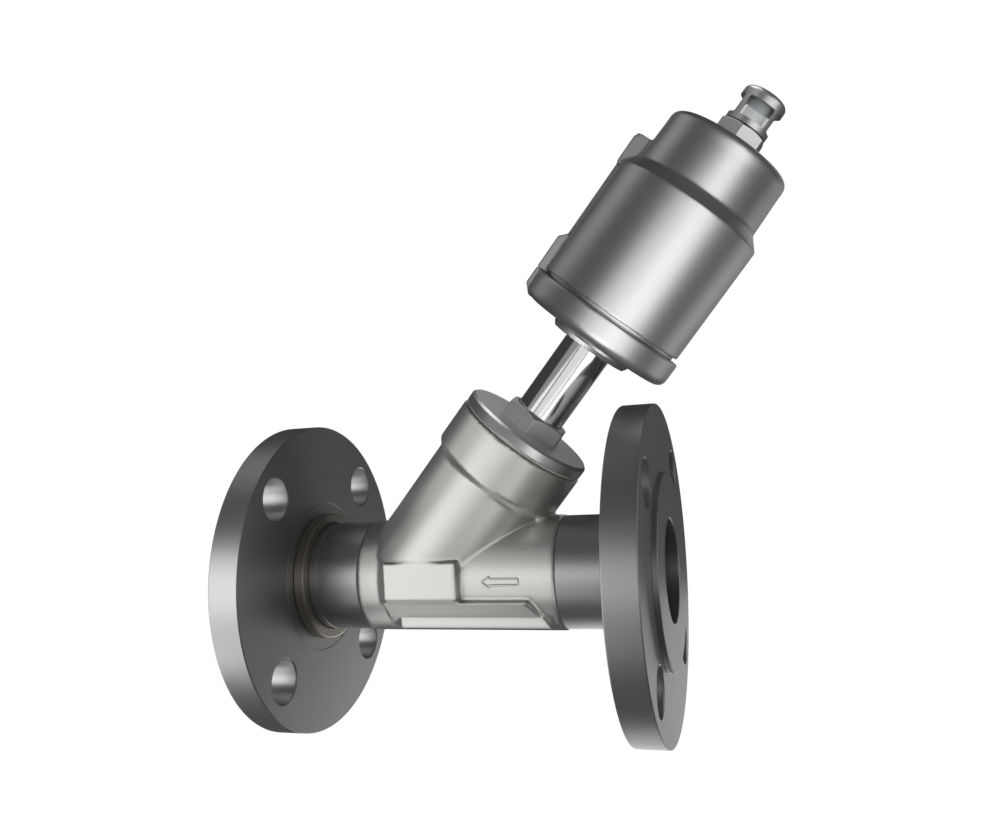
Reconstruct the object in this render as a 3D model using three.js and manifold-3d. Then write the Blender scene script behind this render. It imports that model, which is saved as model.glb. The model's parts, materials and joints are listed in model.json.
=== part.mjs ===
// Pneumatic angle-seat valve, 40 mm bore, flanged ends, built as separate parts.
// Units are millimetres. The pipe run lies along X: fluid enters at +X and leaves at -X.
// The branch with the bonnet, stem and actuator leans from the run towards +X in the XZ plane.
// Lengths along the run are X values. Heights along the branch start where its axis meets the run's.
import * as THREE from "three";
import { mergeVertices } from "three/addons/utils/BufferGeometryUtils.js";
import Module from "manifold-3d";

const wasm = await Module();
wasm.setup();

// ---------------------------------------------------------------- driving dimensions
const GAP = 0.3; // clearance between neighbouring parts
const ROUND = 36; // sides of large turned parts
const MEDIUM_ROUND = 24;
const SMALL_ROUND = 16;

const BORE_R = 21.5;
const PIPE_R = 24.15; // turned end of the casting, a 48.3 mm pipe
const CAST_R = 24.6; // cast run between the turned ends
const FACE_TO_FACE = 179;

const FLANGE_R = 70;
const FLANGE_RIM = 13.6; // rim thickness without the raised face
const RAISED_R = 41;
const RAISED_HEIGHT = 2.4;
const BOLT_CIRCLE_R = 55;
const BOLT_HOLE_R = 9.5;
const BOLT_COUNT = 4;
const RAISED_X = FACE_TO_FACE / 2;
const FLANGE_OUTER_X = RAISED_X - RAISED_HEIGHT;
const FLANGE_INNER_X = FLANGE_OUTER_X - FLANGE_RIM;
const SOCKET_DEPTH = 9;
const PIPE_END_X = FLANGE_INNER_X + SOCKET_DEPTH; // the pipe sits in the flange's socket
const TURNED_X = 43.8; // where the turned ends start
const GROOVE_DEPTH = 1.1;
const GROOVE_WIDTH = 1.2;
const WELD_R = 28.6;
const WELD_LENGTH = 4.6;
const WELD_EDGE = 0.6;

const BRANCH_ANGLE = 0.865; // between branch and run, in radians
const BRANCH_X = -22; // where the branch axis meets the run's
const BRANCH_R = 28.2;
const HEEL_R = 27.6; // round back of the branch's blind end
const COLLAR_R = 30.5;
const COLLAR_CHAMFER = 2.8;
const COLLAR_LOW = 57.3;
const COLLAR_TOP = 76.5;
const CHAMBER_R = 24;
const SKIRT_BORE_R = 25.6; // thread for the bonnet
const SKIRT_LOW = 58;
const SEAT_HEIGHT = 6;
const SEAT_WEB = 5;
const SEAT_R = 18.5;
const SEAT_HOLE_LOW = -9;

const PAD_LOW = [-29.4, -28.5, -7.3];
const PAD_HIGH = [3.7, 28.5, 8.2];
const KEEL_TOP = { y: 27.6, z: -8.2 };
const KEEL_STEP = { y: 20.7, z: -15.1 };
const KEEL_BOTTOM = -20.3;
const KEEL_ENDS = [-31.5, 41.5];
const KEEL_SLANT = 8.5; // how far the inlet end of the rail slopes back towards its top
const ARROW_TIP_X = 13.2;
const ARROW_TAIL_X = 29.2;
const ARROW_RAISED = 0.6;

const BONNET_R = 30.1;
const BONNET_LOW = 77.7;
const BONNET_TOP = 82.7;
const BONNET_EDGE = 0.9;
const SKIRT_WALL = 4;
const PACKING_WALL = 5;
const HEX_FLATS = 27;
const HEX_TOP = 90.3;
const HEX_TURN = -80; // degrees from the branch's own X axis to a hexagon corner
const PACKING_R = 8;
const PACKING_LOW = 66;
const PACKING_TOP = 86;
const NECK_R = 11;
const NECK_BORE_R = 6.5;
const NECK_TOP = 146;
const CLIP_GROOVE = { low: 140.8, high: 142.4, r: 10 };
const NUT_R = 19;
const NUT_LOW = 126.4;
const NUT_TOP = 129.7;

const ACTUATOR_LOW = 130;
const BASE_R = 35.5;
const BASE_TOP = 142.2;
const BASE_EDGE = 4;
const BASE_TOP_EDGE = 0.6;
const SPIGOT_TOP = 147;
const O_RING_LOW = 143.6;
const O_RING_HIGH = 145.6;
const O_RING_DEPTH = 2;
const O_RING_PLAY = 0.2; // around an O-ring in its groove
const HOUSING_LOW = 142.5;
const HOUSING_R = 33.7;
const HOUSING_GROOVE_R = 32.8;
const HOUSING_GROOVE = { height: 1.2, flare: 0.9 };
const CYLINDER_BORE_R = 31.5;
const SHOULDER_LOW = 198;
const SHOULDER_TOP = 203.5;
const SHOULDER_ROUNDING = { out: 0.3, down: 0.8 };
const CAP_R = 28.9;
const CAP_TOP_R = 28.2;
const CAP_BORE_R = 25.8;
const CAP_ROUNDING = 7;
const HOUSING_TOP = 228;
const HOUSING_ROOF = 225.2;
const LUG_BOSS = 37.3; // distance of a port face from the actuator axis
const UPPER_FACE = 34.9;
const LUG_RIB = 34.9;
const LUG_ROOT = 20; // the lug's blocks reach this far in, to join the round wall
const LUG_HALF_WIDTH = 10;
const RIB_HALF_WIDTH = 8;
const LOWER_BOSS_TOP = 161;
const UPPER_BOSS = [197, 212];
const LOWER_BOSS_SLOPE = 3; // height of the sloping edge above each port
const UPPER_BOSS_SLOPE = 1.6;
const LOWER_PORT = 152;
const UPPER_PORT = 205;
const PORT_R = 5.8; // tapping size of a 1/4 inch air fitting

const STEM_R = 5;
const STEM_END_R = 4;
const STEM_NUT_FLATS = 13;
const PISTON_LOW = 158;
const PISTON_HIGH = 168;
const PISTON_R = 31.15;
const SPRING_TOP = 223.4;

const SIGHT_LOW = 228.3;
const SIGHT_HEX_TOP = 236.8;
const SIGHT_FLATS = 19.6;
const SIGHT_TURN = -86;
const SIGHT_THREAD_R = 6;
const SIGHT_BORE_R = 4.6;
const CAGE_R = 9.8;
const CAGE_BORE_R = 7.9;
const CAGE_TOP = 253;
const CAGE_EDGE = 2.2;
const CAGE_ROOF = 250.7;
const WINDOW_HEIGHTS = [239.6, 248.2];
const WINDOW_WIDTH = 11.8;
const WINDOW_COUNT = 4;
const WINDOW_TURN = -78;

// ---------------------------------------------------------------- materials
const steel = (colour, roughness, metalness = 1) =>
  new THREE.MeshStandardMaterial({ color: colour, roughness, metalness });
const castSteel = () => steel(0xbdbcb8, 0.42);
const blastedSteel = () => steel(0x9a9b9c, 0.38);
const turnedSteel = () => steel(0x8f8f8c, 0.3);
const polishedSteel = () => steel(0xd9dadb, 0.08);
const springSteel = () => steel(0x77797c, 0.35);
const heatTinted = () => steel(0x9c9486, 0.34);
const ptfe = () => steel(0xe9e7e0, 0.5, 0);
const blackRubber = () => steel(0x1d1d1e, 0.6, 0);
const clearPlastic = () => steel(0xdfe6ea, 0.1, 0);
const redPlastic = () => steel(0xb3221c, 0.4, 0);

// ---------------------------------------------------------------- shape helpers
const rad = THREE.MathUtils.degToRad;

// Closed solid turned about Z. The outline runs anticlockwise as [radius, height] pairs.
function turned(outline, sides = ROUND) {
  const points = outline.map(([r, z]) => new THREE.Vector2(r, z));
  if (outline[0][0] > 0) {
    points.push(points[0].clone());
  }
  return new THREE.LatheGeometry(points, sides).rotateX(Math.PI / 2);
}

const disc = (r, low, high, sides) => turned([[0, low], [r, low], [r, high], [0, high]], sides);
const ring = (inner, outer, low, high, sides) =>
  turned([[inner, low], [outer, low], [outer, high], [inner, high]], sides);

function box(low, high) {
  const size = high.map((value, i) => value - low[i]);
  const middle = high.map((value, i) => (value + low[i]) / 2);
  return new THREE.BoxGeometry(...size).translate(...middle);
}

// Hexagonal prism about Z with one corner at the given turn, its top corners rounded off.
function hexagon(flats, low, high, turn) {
  const corner = flats / Math.sqrt(3);
  const prism = new THREE.CylinderGeometry(corner, corner, high - low, 6, 1, false, Math.PI / 2);
  prism.rotateX(Math.PI / 2).rotateZ(rad(turn)).translate(0, 0, (low + high) / 2);
  const chamfer = corner - flats / 2;
  const envelope = turned([[0, low], [corner + 1, low], [corner + 1, high - chamfer / 2],
    [flats / 2 - 0.2, high], [0, high]], MEDIUM_ROUND);
  return fromSolid(toSolid(prism).intersect(toSolid(envelope)));
}

// Round wire wound into a compression spring about Z.
function spring(meanR, wireR, low, high, turns) {
  class Helix extends THREE.Curve {
    getPoint(t, target = new THREE.Vector3()) {
      const angle = 2 * Math.PI * turns * t;
      const height = low + wireR + t * (high - low - 2 * wireR);
      return target.set(meanR * Math.cos(angle), meanR * Math.sin(angle), height);
    }
  }
  const wire = new THREE.Shape().absarc(0, 0, wireR, 0, 2 * Math.PI);
  return new THREE.ExtrudeGeometry(wire, {
    curveSegments: 3, steps: Math.round(turns * 10), extrudePath: new Helix(),
  });
}

function toSolid(geometry) {
  const bare = geometry.clone();
  bare.deleteAttribute("normal");
  bare.deleteAttribute("uv");
  const merged = mergeVertices(bare, 1e-3);
  const index = merged.index.array;
  const corners = [];
  for (let i = 0; i < index.length; i += 3) {
    const [a, b, c] = index.slice(i, i + 3);
    if (a !== b && b !== c && c !== a) {
      corners.push(a, b, c);
    }
  }
  return new wasm.Manifold(new wasm.Mesh({
    numProp: 3,
    vertProperties: new Float32Array(merged.attributes.position.array),
    triVerts: new Uint32Array(corners),
  }));
}

function fromSolid(solid) {
  const mesh = solid.getMesh();
  const geometry = new THREE.BufferGeometry();
  geometry.setAttribute("position", new THREE.BufferAttribute(mesh.vertProperties, 3));
  geometry.setIndex(new THREE.BufferAttribute(mesh.triVerts, 1));
  geometry.computeVertexNormals();
  return geometry;
}

function join(...geometries) {
  return fromSolid(geometries.map(toSolid).reduce((a, b) => a.add(b)));
}

function cut(geometry, ...tools) {
  return fromSolid(tools.map(toSolid).reduce((a, b) => a.subtract(b), toSolid(geometry)));
}

function common(a, b) {
  return fromSolid(toSolid(a).intersect(toSolid(b)));
}

// ---------------------------------------------------------------- scene graph
const valve = new THREE.Group();
const inletSide = new THREE.Group();
inletSide.rotation.y = Math.PI / 2;
const outletSide = new THREE.Group();
outletSide.rotation.y = -Math.PI / 2;
const branch = new THREE.Group();
branch.position.x = BRANCH_X;
branch.rotation.y = Math.PI / 2 - BRANCH_ANGLE;
valve.add(inletSide, outletSide, branch);

function add(group, name, geometry, material) {
  const mesh = new THREE.Mesh(geometry, material);
  mesh.name = name;
  group.add(mesh);
}

// Geometry for the casting is placed before it is joined, because run and branch meet in it.
const onRun = (geometry) => geometry.rotateY(Math.PI / 2);
const onBranch = (geometry) => geometry.rotateY(Math.PI / 2 - BRANCH_ANGLE).translate(BRANCH_X, 0, 0);

// ---------------------------------------------------------------- body casting
function castRun() {
  const bottom = [CAST_R - GROOVE_DEPTH, TURNED_X + GROOVE_WIDTH / 2];
  const half = [[CAST_R, TURNED_X], bottom, [PIPE_R, TURNED_X + GROOVE_WIDTH],
    [PIPE_R, PIPE_END_X], [0, PIPE_END_X]];
  const mirrored = half.map(([r, x]) => [r, -x]).reverse();
  return onRun(turned([...mirrored, ...half]));
}

function castBranch() {
  const edge = 0.5;
  const outside = turned([
    [0, 0], [BRANCH_R, 0], [BRANCH_R, COLLAR_LOW - COLLAR_CHAMFER], [COLLAR_R, COLLAR_LOW],
    [COLLAR_R, COLLAR_TOP - edge], [COLLAR_R - edge, COLLAR_TOP], [0, COLLAR_TOP],
  ]);
  // The heel rounds the branch's blind end and stops at the rail.
  const heel = new THREE.SphereGeometry(HEEL_R, 24, 12).translate(BRANCH_X, 0, 0);
  const far = 4 * BRANCH_R;
  const overlap = 1.5;
  return join(onBranch(outside), common(heel, box([-far, -far, KEEL_TOP.z - overlap], [far, far, far])));
}

// Stepped rail along the underside, with slanted ends.
function keel() {
  const outline = new THREE.Shape();
  const half = [[KEEL_TOP.y, KEEL_TOP.z], [KEEL_STEP.y, KEEL_STEP.z], [KEEL_STEP.y, KEEL_BOTTOM]];
  const mirrored = half.map(([y, z]) => [-y, z]).reverse();
  outline.setFromPoints([...half, ...mirrored].map(([y, z]) => new THREE.Vector2(y, z)));
  const length = KEEL_ENDS[1] - KEEL_ENDS[0];
  const rail = new THREE.ExtrudeGeometry(outline, { depth: length, bevelEnabled: false });
  rail.rotateX(Math.PI / 2).rotateZ(Math.PI / 2).translate(KEEL_ENDS[0], 0, 0);
  const slope = -Math.atan2(KEEL_SLANT, KEEL_TOP.z - KEEL_BOTTOM);
  const far = 2 * KEEL_TOP.y;
  const wedge = box([0, -far, -far], [far, far, far]).rotateY(slope);
  wedge.translate(KEEL_ENDS[1] - KEEL_SLANT, 0, KEEL_TOP.z);
  return cut(rail, wedge);
}

// Raised outline of an arrow that points the way the fluid flows.
function flowArrow() {
  const head = 5.2;
  const shaft = 1.3;
  const halfHead = 2.5;
  const tail = ARROW_TAIL_X - ARROW_TIP_X;
  const depth = 5;
  const outline = new THREE.Shape([
    [0, 0], [head, -halfHead], [head, -shaft], [tail, -shaft], [tail, shaft], [head, shaft],
    [head, halfHead],
  ].map(([x, z]) => new THREE.Vector2(x, z)));
  const arrow = new THREE.ExtrudeGeometry(outline, { depth, bevelEnabled: false });
  return arrow.rotateX(Math.PI / 2).translate(ARROW_TIP_X, depth - CAST_R - ARROW_RAISED, 0);
}

function bodyCasting() {
  const outside = join(castRun(), castBranch(), keel(), box(PAD_LOW, PAD_HIGH), flowArrow());
  const far = 120;
  const below = onBranch(box([-far, -far, -far], [far, far, SEAT_HEIGHT - SEAT_WEB]));
  const above = onBranch(box([-far, -far, SEAT_HEIGHT], [far, far, far]));
  const runBore = () => onRun(disc(BORE_R, -FACE_TO_FACE / 2, FACE_TO_FACE / 2));
  const outletBore = common(common(runBore(), below), box([-far, -far, -far], [BORE_R, far, far]));
  const inletBore = common(common(runBore(), above), box([-2 * BORE_R, -far, -far], [far, far, far]));
  const chamber = onBranch(turned([
    [0, SEAT_HEIGHT], [CHAMBER_R, SEAT_HEIGHT], [CHAMBER_R, SKIRT_LOW],
    [SKIRT_BORE_R, SKIRT_LOW], [SKIRT_BORE_R, COLLAR_TOP + 1], [0, COLLAR_TOP + 1],
  ]));
  const seatHole = onBranch(disc(SEAT_R, SEAT_HOLE_LOW, SEAT_HEIGHT + 1, ROUND));
  return cut(outside, outletBore, inletBore, chamber, seatHole);
}
add(valve, "body_casting", bodyCasting(), castSteel());

// ---------------------------------------------------------------- flanges and their welds
function flange() {
  const chamfer = 1;
  const plate = turned([
    [PIPE_R + GAP, FLANGE_INNER_X], [FLANGE_R - chamfer, FLANGE_INNER_X],
    [FLANGE_R, FLANGE_INNER_X + chamfer], [FLANGE_R, FLANGE_OUTER_X - chamfer],
    [FLANGE_R - chamfer, FLANGE_OUTER_X], [RAISED_R, FLANGE_OUTER_X],
    [RAISED_R - 0.4, RAISED_X], [BORE_R, RAISED_X],
    [BORE_R, PIPE_END_X + GAP], [PIPE_R + GAP, PIPE_END_X + GAP],
  ], 48);
  const holes = [];
  for (let i = 0; i < BOLT_COUNT; i += 1) {
    const angle = (2 * Math.PI * (i + 0.5)) / BOLT_COUNT;
    const hole = disc(BOLT_HOLE_R, FLANGE_INNER_X - 1, FLANGE_OUTER_X + 1, 16);
    holes.push(hole.translate(BOLT_CIRCLE_R * Math.cos(angle), BOLT_CIRCLE_R * Math.sin(angle), 0));
  }
  return cut(plate, ...holes);
}

function fillet() {
  const high = FLANGE_INNER_X - GAP;
  const low = high - WELD_LENGTH;
  return turned([
    [PIPE_R + GAP, low], [WELD_R - WELD_EDGE, low], [WELD_R, low + WELD_EDGE],
    [WELD_R, high], [PIPE_R + GAP, high],
  ]);
}

for (const [side, group] of [["inlet", inletSide], ["outlet", outletSide]]) {
  add(group, `${side}_flange`, flange(), turnedSteel());
  add(group, `${side}_weld`, fillet(), heatTinted());
}

// ---------------------------------------------------------------- bonnet, packing and neck
function bonnet() {
  const outside = turned([
    [0, SKIRT_LOW + 1], [SKIRT_BORE_R - GAP, SKIRT_LOW + 1], [SKIRT_BORE_R - GAP, BONNET_LOW],
    [BONNET_R, BONNET_LOW], [BONNET_R, BONNET_TOP - BONNET_EDGE],
    [BONNET_R - BONNET_EDGE, BONNET_TOP], [0, BONNET_TOP],
  ]);
  const bore = turned([
    [0, SKIRT_LOW], [STEM_R + GAP, SKIRT_LOW], [STEM_R + GAP, PACKING_LOW],
    [PACKING_R, PACKING_LOW], [PACKING_R, PACKING_TOP], [NECK_R + GAP, PACKING_TOP],
    [NECK_R + GAP, HEX_TOP + 1], [0, HEX_TOP + 1],
  ]);
  const recess = turned([
    [PACKING_R + PACKING_WALL, SKIRT_LOW], [SKIRT_BORE_R - SKIRT_WALL, SKIRT_LOW],
    [SKIRT_BORE_R - SKIRT_WALL, BONNET_LOW - SKIRT_WALL],
    [PACKING_R + PACKING_WALL, BONNET_LOW - SKIRT_WALL],
  ]);
  return cut(join(outside, hexagon(HEX_FLATS, BONNET_TOP - 1, HEX_TOP, HEX_TURN)), bore, recess);
}
add(branch, "bonnet", bonnet(), turnedSteel());
add(branch, "bonnet_gasket",
  ring(SKIRT_BORE_R + 0.2, COLLAR_R - 1.2, COLLAR_TOP + GAP, BONNET_LOW - GAP), ptfe());

const PACKING_IN = STEM_R + GAP;
const PACKING_OUT = PACKING_R - GAP;
add(branch, "guide_bush",
  ring(PACKING_IN, PACKING_OUT, PACKING_LOW + GAP, PACKING_LOW + 4, SMALL_ROUND), ptfe());

// Chevron packing rings nest on each other.
const RING_PITCH = 2.5;
const RING_COUNT = 3;
const CHEVRON_DROP = 0.8;
for (let i = 0; i < RING_COUNT; i += 1) {
  const low = PACKING_LOW + 4 + GAP + CHEVRON_DROP + i * RING_PITCH;
  const high = low + RING_PITCH - GAP;
  const middle = (PACKING_IN + PACKING_OUT) / 2;
  const chevron = turned([
    [PACKING_IN, low - CHEVRON_DROP], [middle, low], [PACKING_OUT, low - CHEVRON_DROP],
    [PACKING_OUT, high - CHEVRON_DROP], [middle, high], [PACKING_IN, high - CHEVRON_DROP],
  ], SMALL_ROUND);
  add(branch, `packing_ring_${i + 1}`, chevron, ptfe());
}
const WASHER_LOW = PACKING_LOW + 4 + GAP + CHEVRON_DROP + RING_COUNT * RING_PITCH;
add(branch, "packing_washer",
  ring(PACKING_IN, PACKING_OUT, WASHER_LOW, WASHER_LOW + 1.2, SMALL_ROUND), turnedSteel());
add(branch, "packing_spring", spring(6.5, 0.6, WASHER_LOW + 1.5, PACKING_TOP, 4), springSteel());

const BUSH_LOW = 138;
const BUSH_BORE_R = 8.5;
add(branch, "neck_tube", turned([
  [NECK_BORE_R, PACKING_TOP + GAP], [NECK_R, PACKING_TOP + GAP],
  [NECK_R, CLIP_GROOVE.low], [CLIP_GROOVE.r, CLIP_GROOVE.low],
  [CLIP_GROOVE.r, CLIP_GROOVE.high], [NECK_R, CLIP_GROOVE.high],
  [NECK_R, NECK_TOP - 0.5], [NECK_R - 0.5, NECK_TOP], [BUSH_BORE_R, NECK_TOP],
  [BUSH_BORE_R, BUSH_LOW], [NECK_BORE_R, BUSH_LOW],
], MEDIUM_ROUND), polishedSteel());
add(branch, "stem_bush",
  ring(PACKING_IN, BUSH_BORE_R - GAP, BUSH_LOW + GAP, BUSH_LOW + 4, SMALL_ROUND), ptfe());
add(branch, "stem_seal",
  ring(PACKING_IN, BUSH_BORE_R - GAP, BUSH_LOW + 4 + GAP, NECK_TOP - GAP, SMALL_ROUND), blackRubber());
add(branch, "neck_nut", turned([
  [NECK_R + GAP, NUT_LOW], [NUT_R - 1.2, NUT_LOW], [NUT_R, NUT_LOW + 1.8], [NUT_R, NUT_TOP],
  [NECK_R + GAP, NUT_TOP],
], MEDIUM_ROUND), turnedSteel());

const BASE_BORE_R = 13.3;
const CLIP_R = 13;
add(branch, "retaining_ring",
  ring(CLIP_GROOVE.r + GAP, CLIP_R, CLIP_GROOVE.low + GAP, CLIP_GROOVE.high - GAP, SMALL_ROUND),
  springSteel());

// ---------------------------------------------------------------- actuator
// Block that cuts a sloping edge along the lug, turned about Y by some degrees.
function cornerCutter(turn, upward = 1) {
  const size = 2 * LUG_HALF_WIDTH;
  const block = new THREE.BoxGeometry(size / 2, 2 * size, size);
  return block.translate(-size / 4, 0, (upward * size) / 2).rotateY(rad(turn));
}

function actuatorBase() {
  const rounding = [];
  for (let i = 0; i <= 4; i += 1) {
    const angle = rad(-90 + 22.5 * i);
    const radius = BASE_R - BASE_EDGE * (1 - Math.cos(angle));
    rounding.push([radius, ACTUATOR_LOW + BASE_EDGE * (1 + Math.sin(angle))]);
  }
  const spigot = CYLINDER_BORE_R - GAP;
  const root = CYLINDER_BORE_R - O_RING_DEPTH - O_RING_PLAY;
  const plate = turned([
    [0, ACTUATOR_LOW], ...rounding,
    [BASE_R, BASE_TOP - BASE_TOP_EDGE], [BASE_R - BASE_TOP_EDGE, BASE_TOP],
    [spigot, BASE_TOP], [spigot, O_RING_LOW - O_RING_PLAY], [root, O_RING_LOW - O_RING_PLAY],
    [root, O_RING_HIGH + O_RING_PLAY], [spigot, O_RING_HIGH + O_RING_PLAY],
    [spigot, SPIGOT_TOP], [0, SPIGOT_TOP],
  ]);
  const foot = box([-LUG_BOSS, -LUG_HALF_WIDTH, ACTUATOR_LOW], [-LUG_ROOT, LUG_HALF_WIDTH, BASE_TOP]);
  const corner = cornerCutter(-45, -1).translate(-LUG_BOSS, 0, ACTUATOR_LOW + BASE_EDGE);
  const bore = turned([
    [0, ACTUATOR_LOW - 1], [BASE_BORE_R, ACTUATOR_LOW - 1], [BASE_BORE_R, CLIP_GROOVE.low - 0.6],
    [BASE_BORE_R + 0.6, CLIP_GROOVE.low - 0.6], [BASE_BORE_R + 0.6, SPIGOT_TOP + 1],
    [0, SPIGOT_TOP + 1],
  ], MEDIUM_ROUND);
  return cut(join(plate, cut(foot, corner)), bore);
}
add(branch, "actuator_base", actuatorBase(), blastedSteel());
add(branch, "base_bush",
  ring(NECK_R + GAP, BASE_BORE_R - GAP, ACTUATOR_LOW + 0.4, ACTUATOR_LOW + 6.8, SMALL_ROUND), ptfe());
add(branch, "neck_o_ring",
  ring(NECK_R + GAP, BASE_BORE_R - GAP, ACTUATOR_LOW + 7.1, ACTUATOR_LOW + 9.9, SMALL_ROUND),
  blackRubber());
add(branch, "base_o_ring",
  ring(CYLINDER_BORE_R - O_RING_DEPTH, CYLINDER_BORE_R - O_RING_PLAY, O_RING_LOW, O_RING_HIGH),
  blackRubber());

function actuatorHousing() {
  const rounding = [];
  const centre = [CAP_TOP_R - CAP_ROUNDING, HOUSING_TOP - CAP_ROUNDING];
  for (let i = 0; i <= 5; i += 1) {
    const angle = rad(18 * i);
    rounding.push([
      centre[0] + CAP_ROUNDING * Math.cos(angle), centre[1] + CAP_ROUNDING * Math.sin(angle),
    ]);
  }
  const shell = turned([
    [0, HOUSING_LOW], [HOUSING_GROOVE_R, HOUSING_LOW],
    [HOUSING_GROOVE_R, HOUSING_LOW + HOUSING_GROOVE.height],
    [HOUSING_R, HOUSING_LOW + HOUSING_GROOVE.height + HOUSING_GROOVE.flare], [HOUSING_R, SHOULDER_LOW],
    [CAP_R + SHOULDER_ROUNDING.out, SHOULDER_TOP - SHOULDER_ROUNDING.down], [CAP_R, SHOULDER_TOP],
    ...rounding, [0, HOUSING_TOP],
  ]);
  const rib = box([-LUG_RIB, -RIB_HALF_WIDTH, LOWER_PORT], [-LUG_ROOT, RIB_HALF_WIDTH, UPPER_BOSS[1]]);
  const lowerBoss = box([-LUG_BOSS, -LUG_HALF_WIDTH, HOUSING_LOW],
    [-LUG_ROOT, LUG_HALF_WIDTH, LOWER_BOSS_TOP]);
  const upperBoss = box([-UPPER_FACE, -LUG_HALF_WIDTH, UPPER_BOSS[0]],
    [-LUG_ROOT, LUG_HALF_WIDTH, UPPER_BOSS[1]]);
  const bossChamfer = cornerCutter(40).translate(-LUG_BOSS, 0, LOWER_BOSS_TOP - LOWER_BOSS_SLOPE);
  const topChamfer = cornerCutter(50).translate(-UPPER_FACE, 0, UPPER_BOSS[1] - UPPER_BOSS_SLOPE);
  const bore = turned([
    [0, HOUSING_LOW - 1], [CYLINDER_BORE_R, HOUSING_LOW - 1], [CYLINDER_BORE_R, SHOULDER_LOW - 1],
    [CAP_BORE_R, SHOULDER_TOP], [CAP_BORE_R, HOUSING_ROOF], [SIGHT_THREAD_R + GAP, HOUSING_ROOF],
    [SIGHT_THREAD_R + GAP, HOUSING_TOP + 1], [0, HOUSING_TOP + 1],
  ]);
  const port = (height) =>
    disc(PORT_R, 0, LUG_BOSS + 5, SMALL_ROUND).rotateY(-Math.PI / 2).translate(0, 0, height);
  return cut(join(shell, rib, cut(lowerBoss, bossChamfer), cut(upperBoss, topChamfer)),
    bore, port(LOWER_PORT), port(UPPER_PORT));
}
add(branch, "actuator_housing", actuatorHousing(), blastedSteel());

const PLATE_LOW = SPRING_TOP + GAP;
add(branch, "spring_plate",
  ring(9, CAP_BORE_R - 0.6, PLATE_LOW, HOUSING_ROOF - GAP, MEDIUM_ROUND), turnedSteel());
add(branch, "return_spring_outer", spring(22.4, 2.1, PISTON_HIGH + 0.4, SPRING_TOP, 6), springSteel());
add(branch, "return_spring_inner", spring(14.5, 1.6, PISTON_HIGH + 0.4, SPRING_TOP, 7), springSteel());

// ---------------------------------------------------------------- sight indicator
const SPIGOT_HIGH = 238.2;
const GLASS_R = 6.3;
function sightBase() {
  const threads = turned([
    [0, HOUSING_ROOF - 1], [SIGHT_THREAD_R, HOUSING_ROOF - 1], [SIGHT_THREAD_R, SIGHT_HEX_TOP - 1],
    [CAGE_BORE_R - GAP, SIGHT_HEX_TOP - 1], [CAGE_BORE_R - GAP, SPIGOT_HIGH], [0, SPIGOT_HIGH],
  ], MEDIUM_ROUND);
  const hex = hexagon(SIGHT_FLATS, SIGHT_LOW, SIGHT_HEX_TOP, SIGHT_TURN);
  return cut(join(threads, hex), disc(SIGHT_BORE_R, HOUSING_ROOF - 2, SPIGOT_HIGH + 1, SMALL_ROUND));
}
add(branch, "sight_base", sightBase(), turnedSteel());

function sightCage() {
  const shell = turned([
    [CAGE_BORE_R, SIGHT_HEX_TOP + GAP], [CAGE_R, SIGHT_HEX_TOP + GAP], [CAGE_R, CAGE_TOP - CAGE_EDGE],
    [CAGE_R - 0.3 * CAGE_EDGE, CAGE_TOP - 0.3 * CAGE_EDGE], [CAGE_R - CAGE_EDGE, CAGE_TOP], [0, CAGE_TOP],
    [0, CAGE_ROOF], [CAGE_BORE_R, CAGE_ROOF],
  ], MEDIUM_ROUND);
  const windows = [];
  for (let i = 0; i < WINDOW_COUNT; i += 1) {
    const window = box([0, -WINDOW_WIDTH / 2, WINDOW_HEIGHTS[0]],
      [CAGE_R + 2, WINDOW_WIDTH / 2, WINDOW_HEIGHTS[1]]);
    windows.push(window.rotateZ(rad(WINDOW_TURN + (360 * i) / WINDOW_COUNT)));
  }
  return cut(shell, ...windows);
}
add(branch, "sight_cage", sightCage(), turnedSteel());
add(branch, "sight_o_ring", ring(SIGHT_BORE_R + GAP, GLASS_R,
  SPIGOT_HIGH + O_RING_PLAY, SPIGOT_HIGH + 1, SMALL_ROUND), blackRubber());
const GLASS_LOW = SPIGOT_HIGH + 1.2;
const GLASS_WALL = 1.5;
add(branch, "sight_glass", turned([
  [0, CAGE_ROOF - GAP - GLASS_WALL], [GLASS_R - GLASS_WALL, CAGE_ROOF - GAP - GLASS_WALL],
  [GLASS_R - GLASS_WALL, GLASS_LOW], [GLASS_R, GLASS_LOW],
  [GLASS_R, CAGE_ROOF - GAP], [0, CAGE_ROOF - GAP],
], MEDIUM_ROUND), clearPlastic());

// ---------------------------------------------------------------- stem, piston and indicator
const PLUG_LOW = 10.6;
const PLUG_HIGH = 22;
const NUT_HEIGHT = 6;
const RETAINER_LOW = 3.2;
const STEM_TOP = 184;
const INDICATOR_R = 2.5;
const INDICATOR_TIP_R = 4.1;
const INDICATOR_TOP = 230.9;
const INDICATOR_TIP = 5;
add(branch, "stem", turned([
  [0, RETAINER_LOW - NUT_HEIGHT - 1.5], [STEM_END_R, RETAINER_LOW - NUT_HEIGHT - 1.5],
  [STEM_END_R, PLUG_HIGH + GAP], [STEM_R, PLUG_HIGH + GAP], [STEM_R, PISTON_LOW - GAP],
  [STEM_END_R, PISTON_LOW - GAP], [STEM_END_R, STEM_TOP - 0.5], [STEM_END_R - 0.5, STEM_TOP],
  [0, STEM_TOP],
], SMALL_ROUND), polishedSteel());
add(branch, "plug_nut", cut(
  hexagon(STEM_NUT_FLATS, RETAINER_LOW - NUT_HEIGHT - GAP, RETAINER_LOW - GAP, 0),
  disc(STEM_END_R + GAP, -20, 20, SMALL_ROUND)), turnedSteel());

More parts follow.
